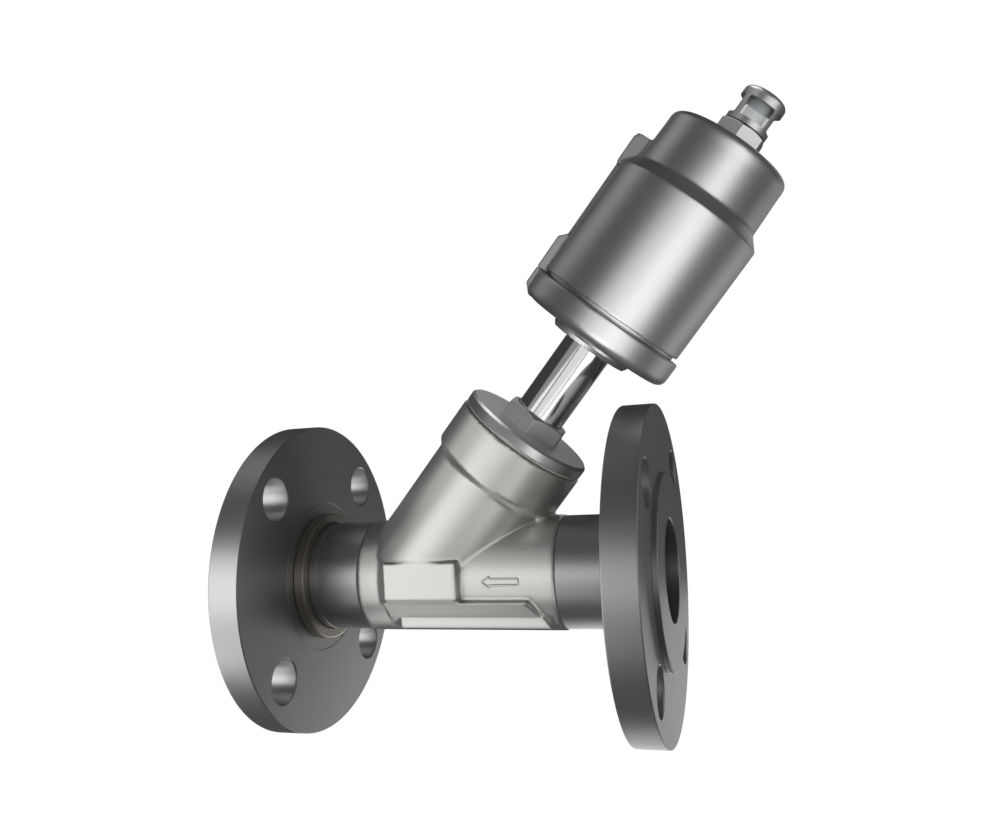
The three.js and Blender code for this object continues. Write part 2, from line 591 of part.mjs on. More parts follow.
const SEAL_GROOVE = [160, 163.2];
const GUIDE_GROOVE = [164.8, 166.6];
const SEAL_ROOT_R = 28.6;
const GUIDE_ROOT_R = 29.6;
add(branch, "piston", turned([
  [STEM_END_R + GAP, PISTON_LOW], [PISTON_R - 0.6, PISTON_LOW], [PISTON_R, PISTON_LOW + 0.6],
  [PISTON_R, SEAL_GROOVE[0]], [SEAL_ROOT_R, SEAL_GROOVE[0]],
  [SEAL_ROOT_R, SEAL_GROOVE[1]], [PISTON_R, SEAL_GROOVE[1]],
  [PISTON_R, GUIDE_GROOVE[0]], [GUIDE_ROOT_R, GUIDE_GROOVE[0]],
  [GUIDE_ROOT_R, GUIDE_GROOVE[1]], [PISTON_R, GUIDE_GROOVE[1]],
  [PISTON_R, PISTON_HIGH], [STEM_END_R + GAP, PISTON_HIGH],
]), steel(0xa9acb0, 0.4));
const SLIDING_R = CYLINDER_BORE_R - 0.1;
add(branch, "piston_seal", ring(SEAL_ROOT_R + GAP, SLIDING_R,
  SEAL_GROOVE[0] + GAP, SEAL_GROOVE[1] - GAP), blackRubber());
add(branch, "piston_guide_ring", ring(GUIDE_ROOT_R + GAP, SLIDING_R,
  GUIDE_GROOVE[0] + 0.2, GUIDE_GROOVE[1] - 0.2), ptfe());
const PISTON_NUT_LOW = PISTON_HIGH + 2 + 2 * GAP;
add(branch, "piston_washer",
  ring(STEM_END_R + GAP, 10, PISTON_HIGH + GAP, PISTON_HIGH + GAP + 2, SMALL_ROUND), turnedSteel());
add(branch, "piston_nut", cut(hexagon(STEM_NUT_FLATS, PISTON_NUT_LOW, PISTON_NUT_LOW + NUT_HEIGHT, 0),
  disc(STEM_END_R + GAP, PISTON_LOW, STEM_TOP, SMALL_ROUND)), turnedSteel());
add(branch, "indicator_rod", turned([
  [0, STEM_TOP + GAP], [INDICATOR_R, STEM_TOP + GAP], [INDICATOR_R, INDICATOR_TOP - INDICATOR_TIP],
  [INDICATOR_TIP_R, INDICATOR_TOP - INDICATOR_TIP], [INDICATOR_TIP_R, INDICATOR_TOP - 0.8],
  [INDICATOR_TIP_R - 0.8, INDICATOR_TOP], [0, INDICATOR_TOP],
], SMALL_ROUND), redPlastic());

// ---------------------------------------------------------------- plug
const PLUG_R = 21.5;
add(branch, "plug_holder", turned([
  [STEM_END_R + GAP, PLUG_LOW], [PLUG_R, PLUG_LOW], [PLUG_R, PLUG_HIGH - 6],
  [PLUG_R - 5, PLUG_HIGH], [STEM_END_R + GAP, PLUG_HIGH],
], MEDIUM_ROUND), turnedSteel());
add(branch, "seat_seal",
  ring(STEM_END_R + GAP, SEAT_R + 2, SEAT_HEIGHT + 0.2, PLUG_LOW - GAP, MEDIUM_ROUND), ptfe());
add(branch, "seal_retainer",
  ring(STEM_END_R + GAP, SEAT_R - 3.5, RETAINER_LOW, SEAT_HEIGHT - 0.1, MEDIUM_ROUND), turnedSteel());

export default valve;
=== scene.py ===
"""Shells, finishes and studio of a pneumatic angle-seat valve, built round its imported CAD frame.

Lengths are in metres. The run lies along X and the branch leans from it in the XZ plane. A place is a
matrix whose Z is the axis that a turned piece turns about: INLET, OUTLET or BRANCH.
"""
import json
import math

import bmesh
import bpy
from bpy.props import FloatProperty, FloatVectorProperty, IntProperty, PointerProperty
from mathutils import Matrix, Vector


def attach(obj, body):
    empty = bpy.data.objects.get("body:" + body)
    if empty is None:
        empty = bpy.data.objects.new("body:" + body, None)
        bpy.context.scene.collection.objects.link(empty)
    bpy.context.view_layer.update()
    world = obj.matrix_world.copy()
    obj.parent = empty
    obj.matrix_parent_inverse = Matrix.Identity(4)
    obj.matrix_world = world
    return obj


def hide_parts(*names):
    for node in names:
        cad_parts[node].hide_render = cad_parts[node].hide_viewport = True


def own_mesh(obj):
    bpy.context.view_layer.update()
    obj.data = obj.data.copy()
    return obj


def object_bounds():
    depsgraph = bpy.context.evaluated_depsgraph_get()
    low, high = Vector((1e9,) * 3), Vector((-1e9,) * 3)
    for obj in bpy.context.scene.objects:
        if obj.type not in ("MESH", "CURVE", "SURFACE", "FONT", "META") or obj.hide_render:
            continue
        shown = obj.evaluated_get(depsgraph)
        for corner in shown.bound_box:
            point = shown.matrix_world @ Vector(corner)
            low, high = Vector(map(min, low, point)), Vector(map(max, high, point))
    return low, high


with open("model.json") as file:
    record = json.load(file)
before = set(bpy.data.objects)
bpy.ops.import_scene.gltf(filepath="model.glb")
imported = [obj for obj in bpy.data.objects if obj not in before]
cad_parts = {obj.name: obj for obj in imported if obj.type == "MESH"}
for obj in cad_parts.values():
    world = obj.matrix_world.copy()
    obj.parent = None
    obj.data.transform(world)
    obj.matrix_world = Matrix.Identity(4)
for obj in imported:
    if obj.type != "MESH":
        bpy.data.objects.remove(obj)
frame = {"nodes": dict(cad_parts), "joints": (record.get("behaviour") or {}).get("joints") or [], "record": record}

bl_info = {
    "name": "Angle-Seat Valve",
    "version": (1, 0, 0),
    "blender": (4, 5, 0),
    "location": "3D View > Sidebar > Valve",
    "description": "Builds the shells, finishes and studio of a pneumatic angle-seat valve",
    "category": "Object",
}

# ------------------------------------------------------------------ the frame's own sizes
CAD_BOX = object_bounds()
MM = 0.001
GAP = 0.3 * MM  # clearance that the frame keeps between neighbouring parts
SIDES = 144  # sides of large turned pieces
SMALL_SIDES = 72
BREAK = 0.3 * MM  # rounding of a broken edge
SOFT = 0.6 * MM  # rounding of a softer edge
OVER = 1 * MM  # how far a cutting tool stands out of what it cuts
JOINTS = {joint["name"]: joint for joint in frame["joints"]}
LEAN = Vector(JOINTS["stem_lift"]["axis"]).normalized()  # the branch, neck and actuator point this way
PIVOT = Vector(JOINTS["actuator_swivel"]["pos_m"])
FOOT = PIVOT - LEAN * (PIVOT.z / LEAN.z)  # where the branch's axis meets the run's


def standing(axis, at=Vector()):
    """Place at a point whose Z points along an axis and whose Y stays sideways of the valve."""
    sideways = Vector((0, 1, 0))
    turn = Matrix((sideways.cross(axis), sideways, axis)).transposed()
    return Matrix.Translation(at) @ turn.to_4x4()


INLET = standing(Vector((1, 0, 0)))
OUTLET = standing(Vector((-1, 0, 0)))
BRANCH = standing(LEAN, FOOT)
WORLD = Matrix()


def reach(node, place):
    """Lowest and highest place of a CAD node along the place's Z, and its greatest distance from it."""
    back = place.inverted()
    points = [back @ vertex.co for vertex in frame["nodes"][node].data.vertices]
    heights = [point.z for point in points]
    return min(heights), max(heights), max(point.xy.length for point in points)


# ------------------------------------------------------------------ settings
def length(name, description, millimetres):
    """Length property whose default is given in millimetres."""
    return FloatProperty(name=name, description=description, default=millimetres * MM, unit="LENGTH",
                         precision=5)


def angle(name, description, degrees):
    """Angle property whose default is given in degrees."""
    return FloatProperty(name=name, description=description, default=math.radians(degrees),
                         subtype="ANGLE", unit="ROTATION")


def colour(name, description, *default):
    """Linear colour property."""
    return FloatVectorProperty(name=name, description=description, default=default, subtype="COLOR",
                               size=3, min=0, max=1)


def share(name, description, default):
    """Property from 0 to 1."""
    return FloatProperty(name=name, description=description, default=default, min=0, max=1,
                         subtype="FACTOR")


class ValveBodySettings(bpy.types.PropertyGroup):
    """Sizes of the body casting, along the run or along the branch."""

    bore_radius: length("Bore radius", "Radius of the straight way through the run", 21.5)
    pipe_radius: length("Pipe radius", "Radius of the turned ends", 24.15)
    cast_radius: length("Cast radius", "Radius of the cast run between the turned ends", 24.6)
    turned_start: length("Turned ends start", "Distance from the middle where the turned ends start", 43.8)
    groove_depth: length("Groove depth", "Depth of the groove where the turned ends start", 1.1)
    groove_width: length("Groove width", "Width of the groove where the turned ends start", 1.2)
    line_place: length("Turned line", "Distance from the middle of the thin line by the weld", 65)
    branch_radius: length("Branch radius", "Radius of the branch", 28.2)
    heel_radius: length("Heel radius", "Radius of the branch's rounded blind end", 27.6)
    collar_radius: length("Collar radius", "Radius of the collar at the top of the branch", 30.5)
    collar_low: length("Collar start", "Height where the collar has its full radius", 57.3)
    collar_top: length("Collar top", "Height of the collar's top face", 76.5)
    collar_chamfer: length("Collar chamfer", "Height of the cone below the collar", 2.8)
    chamber_radius: length("Chamber radius", "Radius of the chamber round the plug", 24)
    thread_radius: length("Thread radius", "Radius of the bonnet's thread", 25.6)
    thread_low: length("Thread start", "Height where the bonnet's thread starts", 58)
    seat_height: length("Seat height", "Height of the seat", 6)
    seat_web: length("Seat web", "Thickness of the web that holds the seat", 5)
    seat_radius: length("Seat radius", "Radius of the hole in the seat", 18.5)
    pad_start: length("Pad start", "Place of the side pad's outlet end along the run", -30.6)
    pad_end: length("Pad end", "Place of the side pad's inlet end along the run", 3.7)
    pad_low: length("Pad bottom", "Height of the side pad's lower edge", -7.3)
    pad_high: length("Pad top", "Height of the side pad's upper edge", 9.2)
    pad_face: length("Pad face", "Distance of the side pad's face from the middle plane", 28.5)
    rail_width: length("Rail width", "Half width of the underside rail's foot", 20.7)
    rail_flare: length("Rail flare", "Half width of the underside rail's top", 27.6)
    rail_top: length("Rail top", "Height of the underside rail's top edge", -8.2)
    rail_step: length("Rail step", "Height where the rail's sloping side ends", -15.1)
    rail_bottom: length("Rail bottom", "Height of the rail's foot", -20.3)
    rail_start: length("Rail start", "Place of the rail's outlet end", -31.5)
    rail_end: length("Rail end", "Place of the rail's inlet end at its foot", 41.5)
    rail_toe: length("Rail toe", "How far the rail takes to rise out of the run", 5.5)
    toe_inset: length("Toe inset", "How far the rail's outlet end is narrower at its foot", 4.5)
    toe_lift: length("Toe lift", "How far the rail's outlet end is higher at its foot", 1.5)
    rail_slant: length("Rail slant", "How far the rail's inlet end slopes back towards its top", 8.5)
    arrow_tip: length("Arrow tip", "Place of the flow arrow's tip", 13.2)
    arrow_tail: length("Arrow tail", "Place of the flow arrow's tail", 29.2)
    arrow_line: length("Arrow line", "Width of the raised line of the flow arrow", 1.0)
    grain: length("Casting detail", "Smallest detail of the fused casting", 0.6)
    softening: IntProperty(name="Softening", description="How far the casting's edges are rounded",
                           default=7, min=0, max=40)


class ValveFlangeSettings(bpy.types.PropertyGroup):
    """Sizes of the two flanges and of the welds behind them."""

    raised_height: length("Raised face height", "Height of the raised face", 2.4)
    raised_radius: length("Raised face radius", "Radius of the raised face", 41)
    bolt_circle: length("Bolt circle radius", "Radius of the circle that the bolt holes lie on", 55)
    bolt_hole: length("Bolt hole radius", "Radius of a bolt hole", 9.5)
    bolts: IntProperty(name="Bolt holes", description="Number of bolt holes", default=4, min=2)
    socket_depth: length("Socket depth", "How deep the pipe sits in the flange", 9)
    edge: length("Edge rounding", "Rounding of the rim's edges", 0.45)
    hole_chamfer: length("Hole chamfer", "Chamfer at both ends of a bolt hole", 0.5)
    mark_radius: length("Turned mark radius", "Radius of the faint turned line on the inner face", 33.8)
    serration: length("Serration pitch", "Distance between the grooves of the raised face", 1.1)


class ValveBonnetSettings(bpy.types.PropertyGroup):
    """Sizes of the bonnet, its hexagon, the neck tube and the nut on it."""

    rim_low: length("Rim bottom", "Height of the underside of the bonnet's rim", 77.7)
    rim_top: length("Rim top", "Height of the bonnet's top face", 82.7)
    rim_chamfer: length("Rim chamfer", "Chamfer of the rim's upper edge", 1.1)
    hex_flats: length("Hexagon across flats", "Width of the hexagon across its flats", 27)
    hex_turn: angle("Hexagon turn", "Direction of one corner of the hexagon", -80)
    packing_radius: length("Packing radius", "Radius of the packing chamber", 8)
    packing_wall: length("Packing wall", "Thickness of the wall round the packing chamber", 5)
    skirt_wall: length("Skirt wall", "Thickness of the bonnet's threaded skirt", 4)
    rim_floor: length("Rim floor", "Thickness below the rim, over the hollow of the skirt", 3)
    packing_low: length("Packing bottom", "Height of the packing chamber's floor", 66)
    packing_top: length("Packing top", "Height of the packing chamber's top", 86)
    neck_bore: length("Neck bore radius", "Bore of the neck tube", 6.5)
    bush_bore: length("Bush bore radius", "Bore of the neck tube round its upper bush", 8.5)
    bush_low: length("Bush bottom", "Height of the neck tube's upper bush", 138)
    clip_low: length("Clip groove bottom", "Height of the retaining ring's groove", 140.8)
    clip_high: length("Clip groove top", "Height of the top of the retaining ring's groove", 142.4)
    clip_radius: length("Clip groove radius", "Radius of the bottom of the retaining ring's groove", 10)


class ValveActuatorSettings(bpy.types.PropertyGroup):
    """Sizes of the actuator's base and housing."""

    base_radius: length("Base radius", "Radius of the base", 35.5)
    base_rounding: length("Base rounding", "Rounding of the base's lower edge", 4)
    base_top: length("Base top", "Height of the joint between base and housing", 142.2)
    base_bore: length("Base bore radius", "Radius of the bore round the neck tube", 13.3)
    housing_radius: length("Housing radius", "Outer radius of the cylinder", 33.7)
    groove_radius: length("Groove radius", "Radius of the groove above the base", 32.0)
    groove_height: length("Groove height", "Height of the groove above the base", 1.3)
    cylinder_bore: length("Cylinder bore radius", "Bore that the piston runs in", 31.5)
    shoulder_low: length("Shoulder bottom", "Height where the shoulder starts", 198)
    shoulder_top: length("Shoulder top", "Height where the shoulder ends", 203.5)
    cap_radius: length("Cap radius", "Radius of the cap above the shoulder", 28.9)
    cap_top_radius: length("Cap top radius", "Radius of the cap below its rounding", 28.2)
    cap_rounding: length("Cap rounding", "Rounding of the cap's upper edge", 7)
    cap_bore: length("Cap bore radius", "Bore of the cap over the springs", 25.8)
    roof: length("Roof", "Height of the underside of the cap's roof", 225.2)
    boss_face: length("Lower boss face", "Distance of the lower port's face from the axis", 37.3)
    upper_face: length("Upper boss face", "Distance of the upper port's face from the axis", 34.9)
    rib_face: length("Rib face", "Distance of the rib's face from the axis", 34.9)
    boss_width: length("Boss half width", "Half width of both bosses", 10)
    rib_width: length("Rib half width", "Half width of the rib between the bosses", 8)
    boss_top: length("Lower boss top", "Height of the lower boss's top", 161)
    upper_low: length("Upper boss bottom", "Height of the upper boss's underside", 197)
    upper_top: length("Upper boss top", "Height of the upper boss's top", 212)
    lower_port: length("Lower port", "Height of the lower air port", 152)
    upper_port: length("Upper port", "Height of the upper air port", 205)
    port_radius: length("Port radius", "Radius of both air ports", 5.8)
    grain: length("Casting detail", "Smallest detail of the fused castings", 0.5)
    softening: IntProperty(name="Softening", description="How far the castings' edges are rounded",
                           default=4, min=0, max=40)


class ValveSightSettings(bpy.types.PropertyGroup):
    """Sizes of the sight indicator on top of the actuator."""

    hex_flats: length("Hexagon across flats", "Width of the hexagon across its flats", 19.6)
    hex_top: length("Hexagon top", "Height of the hexagon's top", 236.8)
    hex_turn: angle("Hexagon turn", "Direction of one corner of the hexagon", -86)
    thread_radius: length("Thread radius", "Radius of the thread in the housing's roof", 6)
    bore_radius: length("Bore radius", "Bore for the indicator rod", 4.6)
    cage_radius: length("Cage radius", "Outer radius of the cage", 9.8)
    cage_bore: length("Cage bore radius", "Bore of the cage round the glass", 7.9)
    cage_edge: length("Cage edge", "Rounding of the cage's top edge", 2.4)
    cage_roof: length("Cage roof", "Height of the underside of the cage's roof", 250.7)
    window_low: length("Window bottom", "Height of the windows' lower edge", 239.6)
    window_high: length("Window top", "Height of the windows' upper edge", 248.2)
    window_width: length("Window width", "Width of a window", 11.8)
    window_turn: angle("Window turn", "Direction of the first window", -78)
    windows: IntProperty(name="Windows", description="Number of windows", default=4, min=2)
    glass_wall: length("Glass wall", "Thickness of the glass", 1.5)


class ValveFinishSettings(bpy.types.PropertyGroup):
    """Colours and gloss of the materials."""

    cast: colour("Cast stainless", "Colour of the bead-blasted body casting", 0.515, 0.515, 0.517)
    turned: colour("Turned stainless", "Colour of the turned flanges and pipe ends", 0.450, 0.455, 0.465)
    machined: colour("Machined stainless", "Colour of the bonnet and the nuts", 0.60, 0.60, 0.605)
    blasted: colour("Blasted stainless", "Colour of the actuator's shells", 0.47, 0.475, 0.485)
    polished: colour("Polished stainless", "Colour of the neck tube and the stem", 0.72, 0.725, 0.74)
    tint: colour("Heat tint", "Straw colour of the welds", 0.46, 0.38, 0.25)
    spring: colour("Spring steel", "Colour of the springs", 0.36, 0.37, 0.38)
    alloy: colour("Piston alloy", "Colour of the piston", 0.66, 0.67, 0.69)
    ptfe: colour("PTFE", "Colour of the seals and bushes", 0.82, 0.81, 0.77)
    rubber: colour("Rubber", "Colour of the O-rings", 0.02, 0.02, 0.021)
    glass: colour("Clear plastic", "Colour of the sight glass", 0.90, 0.93, 0.95)
    indicator: colour("Indicator red", "Colour of the indicator rod", 0.55, 0.02, 0.015)
    cast_roughness: share("Cast roughness", "Roughness of the body casting", 0.50)
    turned_roughness: share("Turned roughness", "Roughness of the turned steel", 0.25)
    blasted_roughness: share("Blasted roughness", "Roughness of the actuator's shells", 0.36)


class ValveStageSettings(bpy.types.PropertyGroup):
    """Camera, floor and lights."""

    camera: FloatVectorProperty(name="Camera", description="Where the camera stands", size=3,
                                default=(0.13965, -0.36824, 0.05891), subtype="TRANSLATION",
                                unit="LENGTH")
    yaw: angle("Yaw", "Turn of the camera round the valve", 17.3)
    pitch: angle("Pitch", "Height angle from which the camera looks", -3.15)
    roll: angle("Roll", "Turn of the camera about its own axis", -3.55)
    lens: FloatProperty(name="Lens", description="Focal length for a 36 mm sensor", default=31.28,
                        unit="CAMERA")
    shift: FloatVectorProperty(name="Shift", description="Shift of the camera's picture", size=2,
                               default=(-0.0138, -0.0296))
    floor: colour("Floor", "Colour of the floor and backdrop", 0.93, 0.93, 0.93)
    surround: colour("Surround", "Colour of the dim room round the stage", 0.049, 0.050, 0.052)
    softbox_size: length("Soft light size", "Width and height of every soft light", 560)
    softbox_distance: length("Soft light distance", "Distance from the valve to every soft light", 1000)


# ------------------------------------------------------------------ meshes
def mesh_of(shape):
    """Mesh with outward faces from a bmesh, which is freed."""
    bmesh.ops.recalc_face_normals(shape, faces=shape.faces)
    mesh = bpy.data.meshes.new("shape")
    shape.to_mesh(mesh)
    shape.free()
    return mesh


def rounded(corners, steps=5):
    """Closed outline from (across, up, rounding) corners, each rounding an arc of a few steps."""
    points = [Vector(corner[:2]) for corner in corners]
    outline = []
    for i, corner in enumerate(corners):
        here, rounding = points[i], corner[2] if len(corner) > 2 else 0
        if not rounding:
            outline.append(tuple(here))
            continue
        back, on = points[i - 1] - here, points[(i + 1) % len(points)] - here
        half = back.angle(on) / 2
        run = min(rounding / math.tan(half), 0.49 * back.length, 0.49 * on.length)
        middle = here + (back.normalized() + on.normalized()).normalized() * run / math.cos(half)
        start = here + back.normalized() * run - middle
        turn = start.angle_signed(here + on.normalized() * run - middle)
        for step in range(steps + 1):
            spoke = start.copy()
            spoke.rotate(Matrix.Rotation(-turn * step / steps, 2))
            outline.append(tuple(middle + spoke))
    return outline


def round_turns(count):
    """Angles of the corners of a regular polygon."""
    return [2 * math.pi * i / count for i in range(count)]


def lathed(corners, sides=SIDES):
    """Mesh turned about Z from (radius, height, rounding) corners, closed on itself or on the axis."""
    outline = rounded(corners)
    shape = bmesh.new()
    rings = []
    turns = round_turns(sides)
    for radius, height in outline:
        on_axis = radius < 1e-7
        points = [(0, 0)] if on_axis else [(radius * math.cos(a), radius * math.sin(a)) for a in turns]
        rings.append([shape.verts.new((x, y, height)) for x, y in points])
    for low, high in zip(rings, rings[1:] + rings[:1]):
        for i in range(sides):
            on = i + 1
            ends = [low[i % len(low)], low[on % len(low)], high[on % len(high)], high[i % len(high)]]
            ends = list(dict.fromkeys(ends))
            if len(ends) > 2:
                shape.faces.new(ends)
    return mesh_of(shape)


def cylinder(radius, low, high, sides=SIDES):
    """Plain round bar along Z."""
    return lathed([(0, low), (radius, low), (radius, high), (0, high)], sides)


def lofted(sections, closed=False):
    """Skin over rings of points, with flat ends unless it closes on itself."""
    shape = bmesh.new()
    rings = [[shape.verts.new(point) for point in section] for section in sections]
    for low, high in zip(rings, rings[1:] + (rings[:1] if closed else [])):
        for i in range(len(low)):
            shape.faces.new((low[i - 1], low[i], high[i], high[i - 1]))
    if not closed:
        shape.faces.new(rings[0])
        shape.faces.new(rings[-1])
    return mesh_of(shape)


def block(low, high, taper=0.0):
    """Box between two corners, whose top is smaller by the taper on every side."""
    sections = []
    for height, inset in ((low[2], 0), (high[2], taper)):
        x0, y0, x1, y1 = low[0] + inset, low[1] + inset, high[0] - inset, high[1] - inset
        sections.append([(x0, y0, height), (x1, y0, height), (x1, y1, height), (x0, y1, height)])
    return lofted(sections)


def hexagon(flats, low, high, turn, rounding):
    """Hexagonal prism about Z with one corner at the given turn."""
    corner = flats / math.sqrt(3)
    spokes = [turn + i * math.pi / 3 for i in range(6)]
    outline = rounded([(corner * math.cos(a), corner * math.sin(a), rounding) for a in spokes], 3)
    return lofted([[(x, y, height) for x, y in outline] for height in (low, high)])


def moved(mesh, matrix):
    """The same mesh in another place."""
    mesh.transform(matrix)
    return mesh


def worked(mesh, *steps):
    """The mesh after some modifiers, each given as its type and settings."""
    holder = bpy.data.objects.new("holder", mesh)
    bpy.context.scene.collection.objects.link(holder)
    for kind, settings in steps:
        modifier = holder.modifiers.new(kind, kind)
        for name, value in settings.items():
            setattr(modifier, name, value)
    graph = bpy.context.evaluated_depsgraph_get()
    result = bpy.data.meshes.new_from_object(holder.evaluated_get(graph))
    bpy.data.objects.remove(holder)
    if not result.polygons:
        raise RuntimeError(f"nothing was left after {[kind for kind, settings in steps]}")
    return result


def joined(operation, mesh, *tools):
    """Boolean DIFFERENCE, UNION or INTERSECT of a mesh and its tools."""
    holders = [bpy.data.objects.new("tool", tool) for tool in tools]
    for holder in holders:
        bpy.context.scene.collection.objects.link(holder)
    settings = {"operation": operation, "solver": "MANIFOLD"}
    result = worked(mesh, *[("BOOLEAN", {**settings, "object": holder}) for holder in holders])
    for holder in holders:
        bpy.data.objects.remove(holder)
    return result


def cut(mesh, *tools):
    """The mesh without the room that its tools take up."""
    return joined("DIFFERENCE", mesh, *tools)


def fused(parts, detail, softening):
    """One casting from overlapping parts, with its edges and inner corners rounded."""
    shape = bmesh.new()
    for part in parts:
        shape.from_mesh(part)
    remesh = ("REMESH", {"mode": "VOXEL", "voxel_size": detail})
    smooth = ("SMOOTH", {"factor": 0.5, "iterations": softening})
    return worked(mesh_of(shape), remesh, smooth)


def bevelled(mesh, width):
    """The mesh with its sharp edges rounded."""
    return worked(mesh, ("BEVEL", {"width": width, "segments": 2, "limit_method": "ANGLE",
                                   "angle_limit": math.radians(35)}))


def lit_by_slot(slot):
    """Collection of a slot's pieces, for lights that reach only one kind of surface."""
    name = f"lit_{slot}"
    return bpy.data.collections.get(name) or bpy.data.collections.new(name)


def piece(name, mesh, place, body, slot, *nodes, crease=32, even=True):
    """Object for a mesh in its place that rides on a body and stands for CAD nodes."""
    mesh.name = name
    mesh.materials.clear()
    mesh.materials.append(finish(slot))
    mesh.shade_smooth()
    mesh.set_sharp_from_angle(angle=math.radians(crease))
    made = bpy.data.objects.new(name, mesh)
    bpy.context.scene.collection.objects.link(made)
    made.matrix_world = place
    if even:
        made.modifiers.new("even_shading", "WEIGHTED_NORMAL").keep_sharp = True
    lit_by_slot(slot).objects.link(made)
    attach(made, body)
    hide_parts(*nodes)
    return made


# ------------------------------------------------------------------ materials
class Socket:
    """A shader output that works in Python expressions. Each operator adds one Math node."""

    def __init__(self, finish, link):
        self.finish = finish
        self.link = link

    def calculated(self, operation, *values):
        return self.finish.node("ShaderNodeMath", {"operation": operation}, dict(enumerate(values)))

    def __add__(self, other):
        return self.calculated("ADD", self, other)

    def __sub__(self, other):
        return self.calculated("SUBTRACT", self, other)

    def __rsub__(self, other):
        return self.calculated("SUBTRACT", other, self)

    def __mul__(self, other):
        return self.calculated("MULTIPLY", self, other)

    def __truediv__(self, other):
        return self.calculated("DIVIDE", self, other)

    def __rtruediv__(self, other):
        return self.calculated("DIVIDE", other, self)

    def __pow__(self, other):
        return self.calculated("POWER", self, other)

    def __gt__(self, other):
        return self.calculated("GREATER_THAN", self, other)

    __radd__ = __add__
    __rmul__ = __mul__

    def wave(self):
        return self.calculated("SINE", self)

    def between(self, low, high):
        """0 below low, 1 above high, and a straight slope between them."""
        settings = {"clamp": True}
        return self.finish.node("ShaderNodeMapRange", settings, {"Value": self, 1: low, 2: high})


class Finish:
    """One procedural material."""

    def __init__(self, name, **constants):
        self.material = bpy.data.materials.new(name)
        self.material.use_nodes = True
        self.tree = self.material.node_tree
        self.surface = self.tree.nodes["Principled BSDF"]
        for label, value in constants.items():
            self.feed(label.replace("_", " "), value)

    def feed(self, label, value):
        """Sets or links one socket of the surface."""
        self.fill(self.surface.inputs[label], value)

    def fill(self, socket, value):
        """Links a socket to an output, or sets its constant."""
        if isinstance(value, Socket):
            self.tree.links.new(value.link, socket)
        elif socket.type == "RGBA" and len(value) == 3:
            socket.default_value = (*value, 1)
        else:
            socket.default_value = value

    def node(self, kind, settings=None, inputs=None, output=0):
        """Output of a new node, whose settings are set first and then its sockets' values or links."""
        made = self.tree.nodes.new(kind)
        for name, value in (settings or {}).items():
            setattr(made, name, value)
        for label, value in (inputs or {}).items():
            self.fill(made.inputs[label], value)
        return Socket(self, made.outputs[output])

    def place(self):
        """Point in the piece's own place."""
        return self.node("ShaderNodeTexCoord", output="Object")

    def axes(self):
        """X, Y and Z of the piece's own place."""
        where = self.place()
        return [self.node("ShaderNodeSeparateXYZ", None, {0: where}, i) for i in range(3)]

    def radius(self):
        """Distance from the Z axis of the piece's own place."""
        across, deep, up = self.axes()
        return (across * across + deep * deep) ** 0.5

    def noise(self, size, detail=2.0, roughness=0.5):
        """Cloudy pattern from 0 to 1 whose blotches are about as large as size."""
        inputs = {"Vector": self.place(), "Scale": 1 / size, "Detail": detail, "Roughness": roughness}
        return self.node("ShaderNodeTexNoise", None, inputs)

    def lines(self, along, size, detail=2.0):
        """Uneven stripes across a length, about as wide as size."""
        inputs = {"W": along, "Scale": 1 / size, "Detail": detail, "Roughness": 0.6}
        return self.node("ShaderNodeTexNoise", {"noise_dimensions": "1D"}, inputs)

    def mix(self, factor, first, second):
        """Colour that goes from the first to the second as the factor goes from 0 to 1."""
        return self.node("ShaderNodeMix", {"data_type": "RGBA"}, {0: factor, 6: first, 7: second}, 2)

    def joint_shade_mask(self):
        """1 in the groove between the actuator's base and its housing, where a dark shade is painted."""
        sizes = bpy.context.scene.valve_actuator
        low, high = sizes.base_top - 0.2 * MM, sizes.base_top + GAP + sizes.groove_height
        up = self.axes()[2]
        recessed = self.radius().between(sizes.housing_radius - 0.5 * MM, sizes.housing_radius - 0.2 * MM)
        return (up > low) * (1 - up.between(high, high + 0.3 * MM)) * (1 - recessed)

    def edges(self):
        """1 on outer edges, 0 in inner corners and 0.5 on plain surfaces."""
        sharpness = self.node("ShaderNodeNewGeometry", output="Pointiness")
        return sharpness.between(0.42, 0.58)

    def emboss(self, height):
        """Bump from a height in millimetres."""
        self.feed("Normal", self.node("ShaderNodeBump", None, {"Distance": MM, "Height": height}))


def shade(tone, factor):
    """A colour made lighter or darker."""
    return tuple(min(1, channel * factor) for channel in tone)


def settings():
    """Colours and gloss that the materials share."""
    return bpy.context.scene.valve_finish


def cast_stainless(name):
    """Bead-blasted casting: fine grain, soft unevenness, lighter outer edges and painted shade in inner corners.
    """
    tone = settings().cast
    made = Finish(name, Metallic=1)
    stains = made.noise(28 * MM, 4, 0.6).between(0.32, 0.70)
    grain = made.noise(0.55 * MM, 3, 0.6)
    edge_tone_and_corner_shade = made.edges()
    skin_tone = made.mix(stains, shade(tone, 0.90), shade(tone, 1.06))
    # painted shade: inner corners are darkened towards half the tone, where shade falls; outer edges are made
    # lighter below
    skin_tone = made.mix((0.5 - edge_tone_and_corner_shade).between(0.08, 0.5) * 0.12, skin_tone, shade(tone, 0.5))
    skin_tone = made.mix((edge_tone_and_corner_shade - 0.5).between(0.06, 0.5) * 0.6, skin_tone, shade(tone, 1.4))
    made.feed("Base Color", skin_tone)
    made.feed("Roughness", settings().cast_roughness - 0.07 + 0.10 * grain + 0.05 * stains)
    made.emboss(0.09 * grain + 0.10 * made.noise(5 * MM, 2) + 0.06 * made.noise(1.4 * MM, 2))
    return made


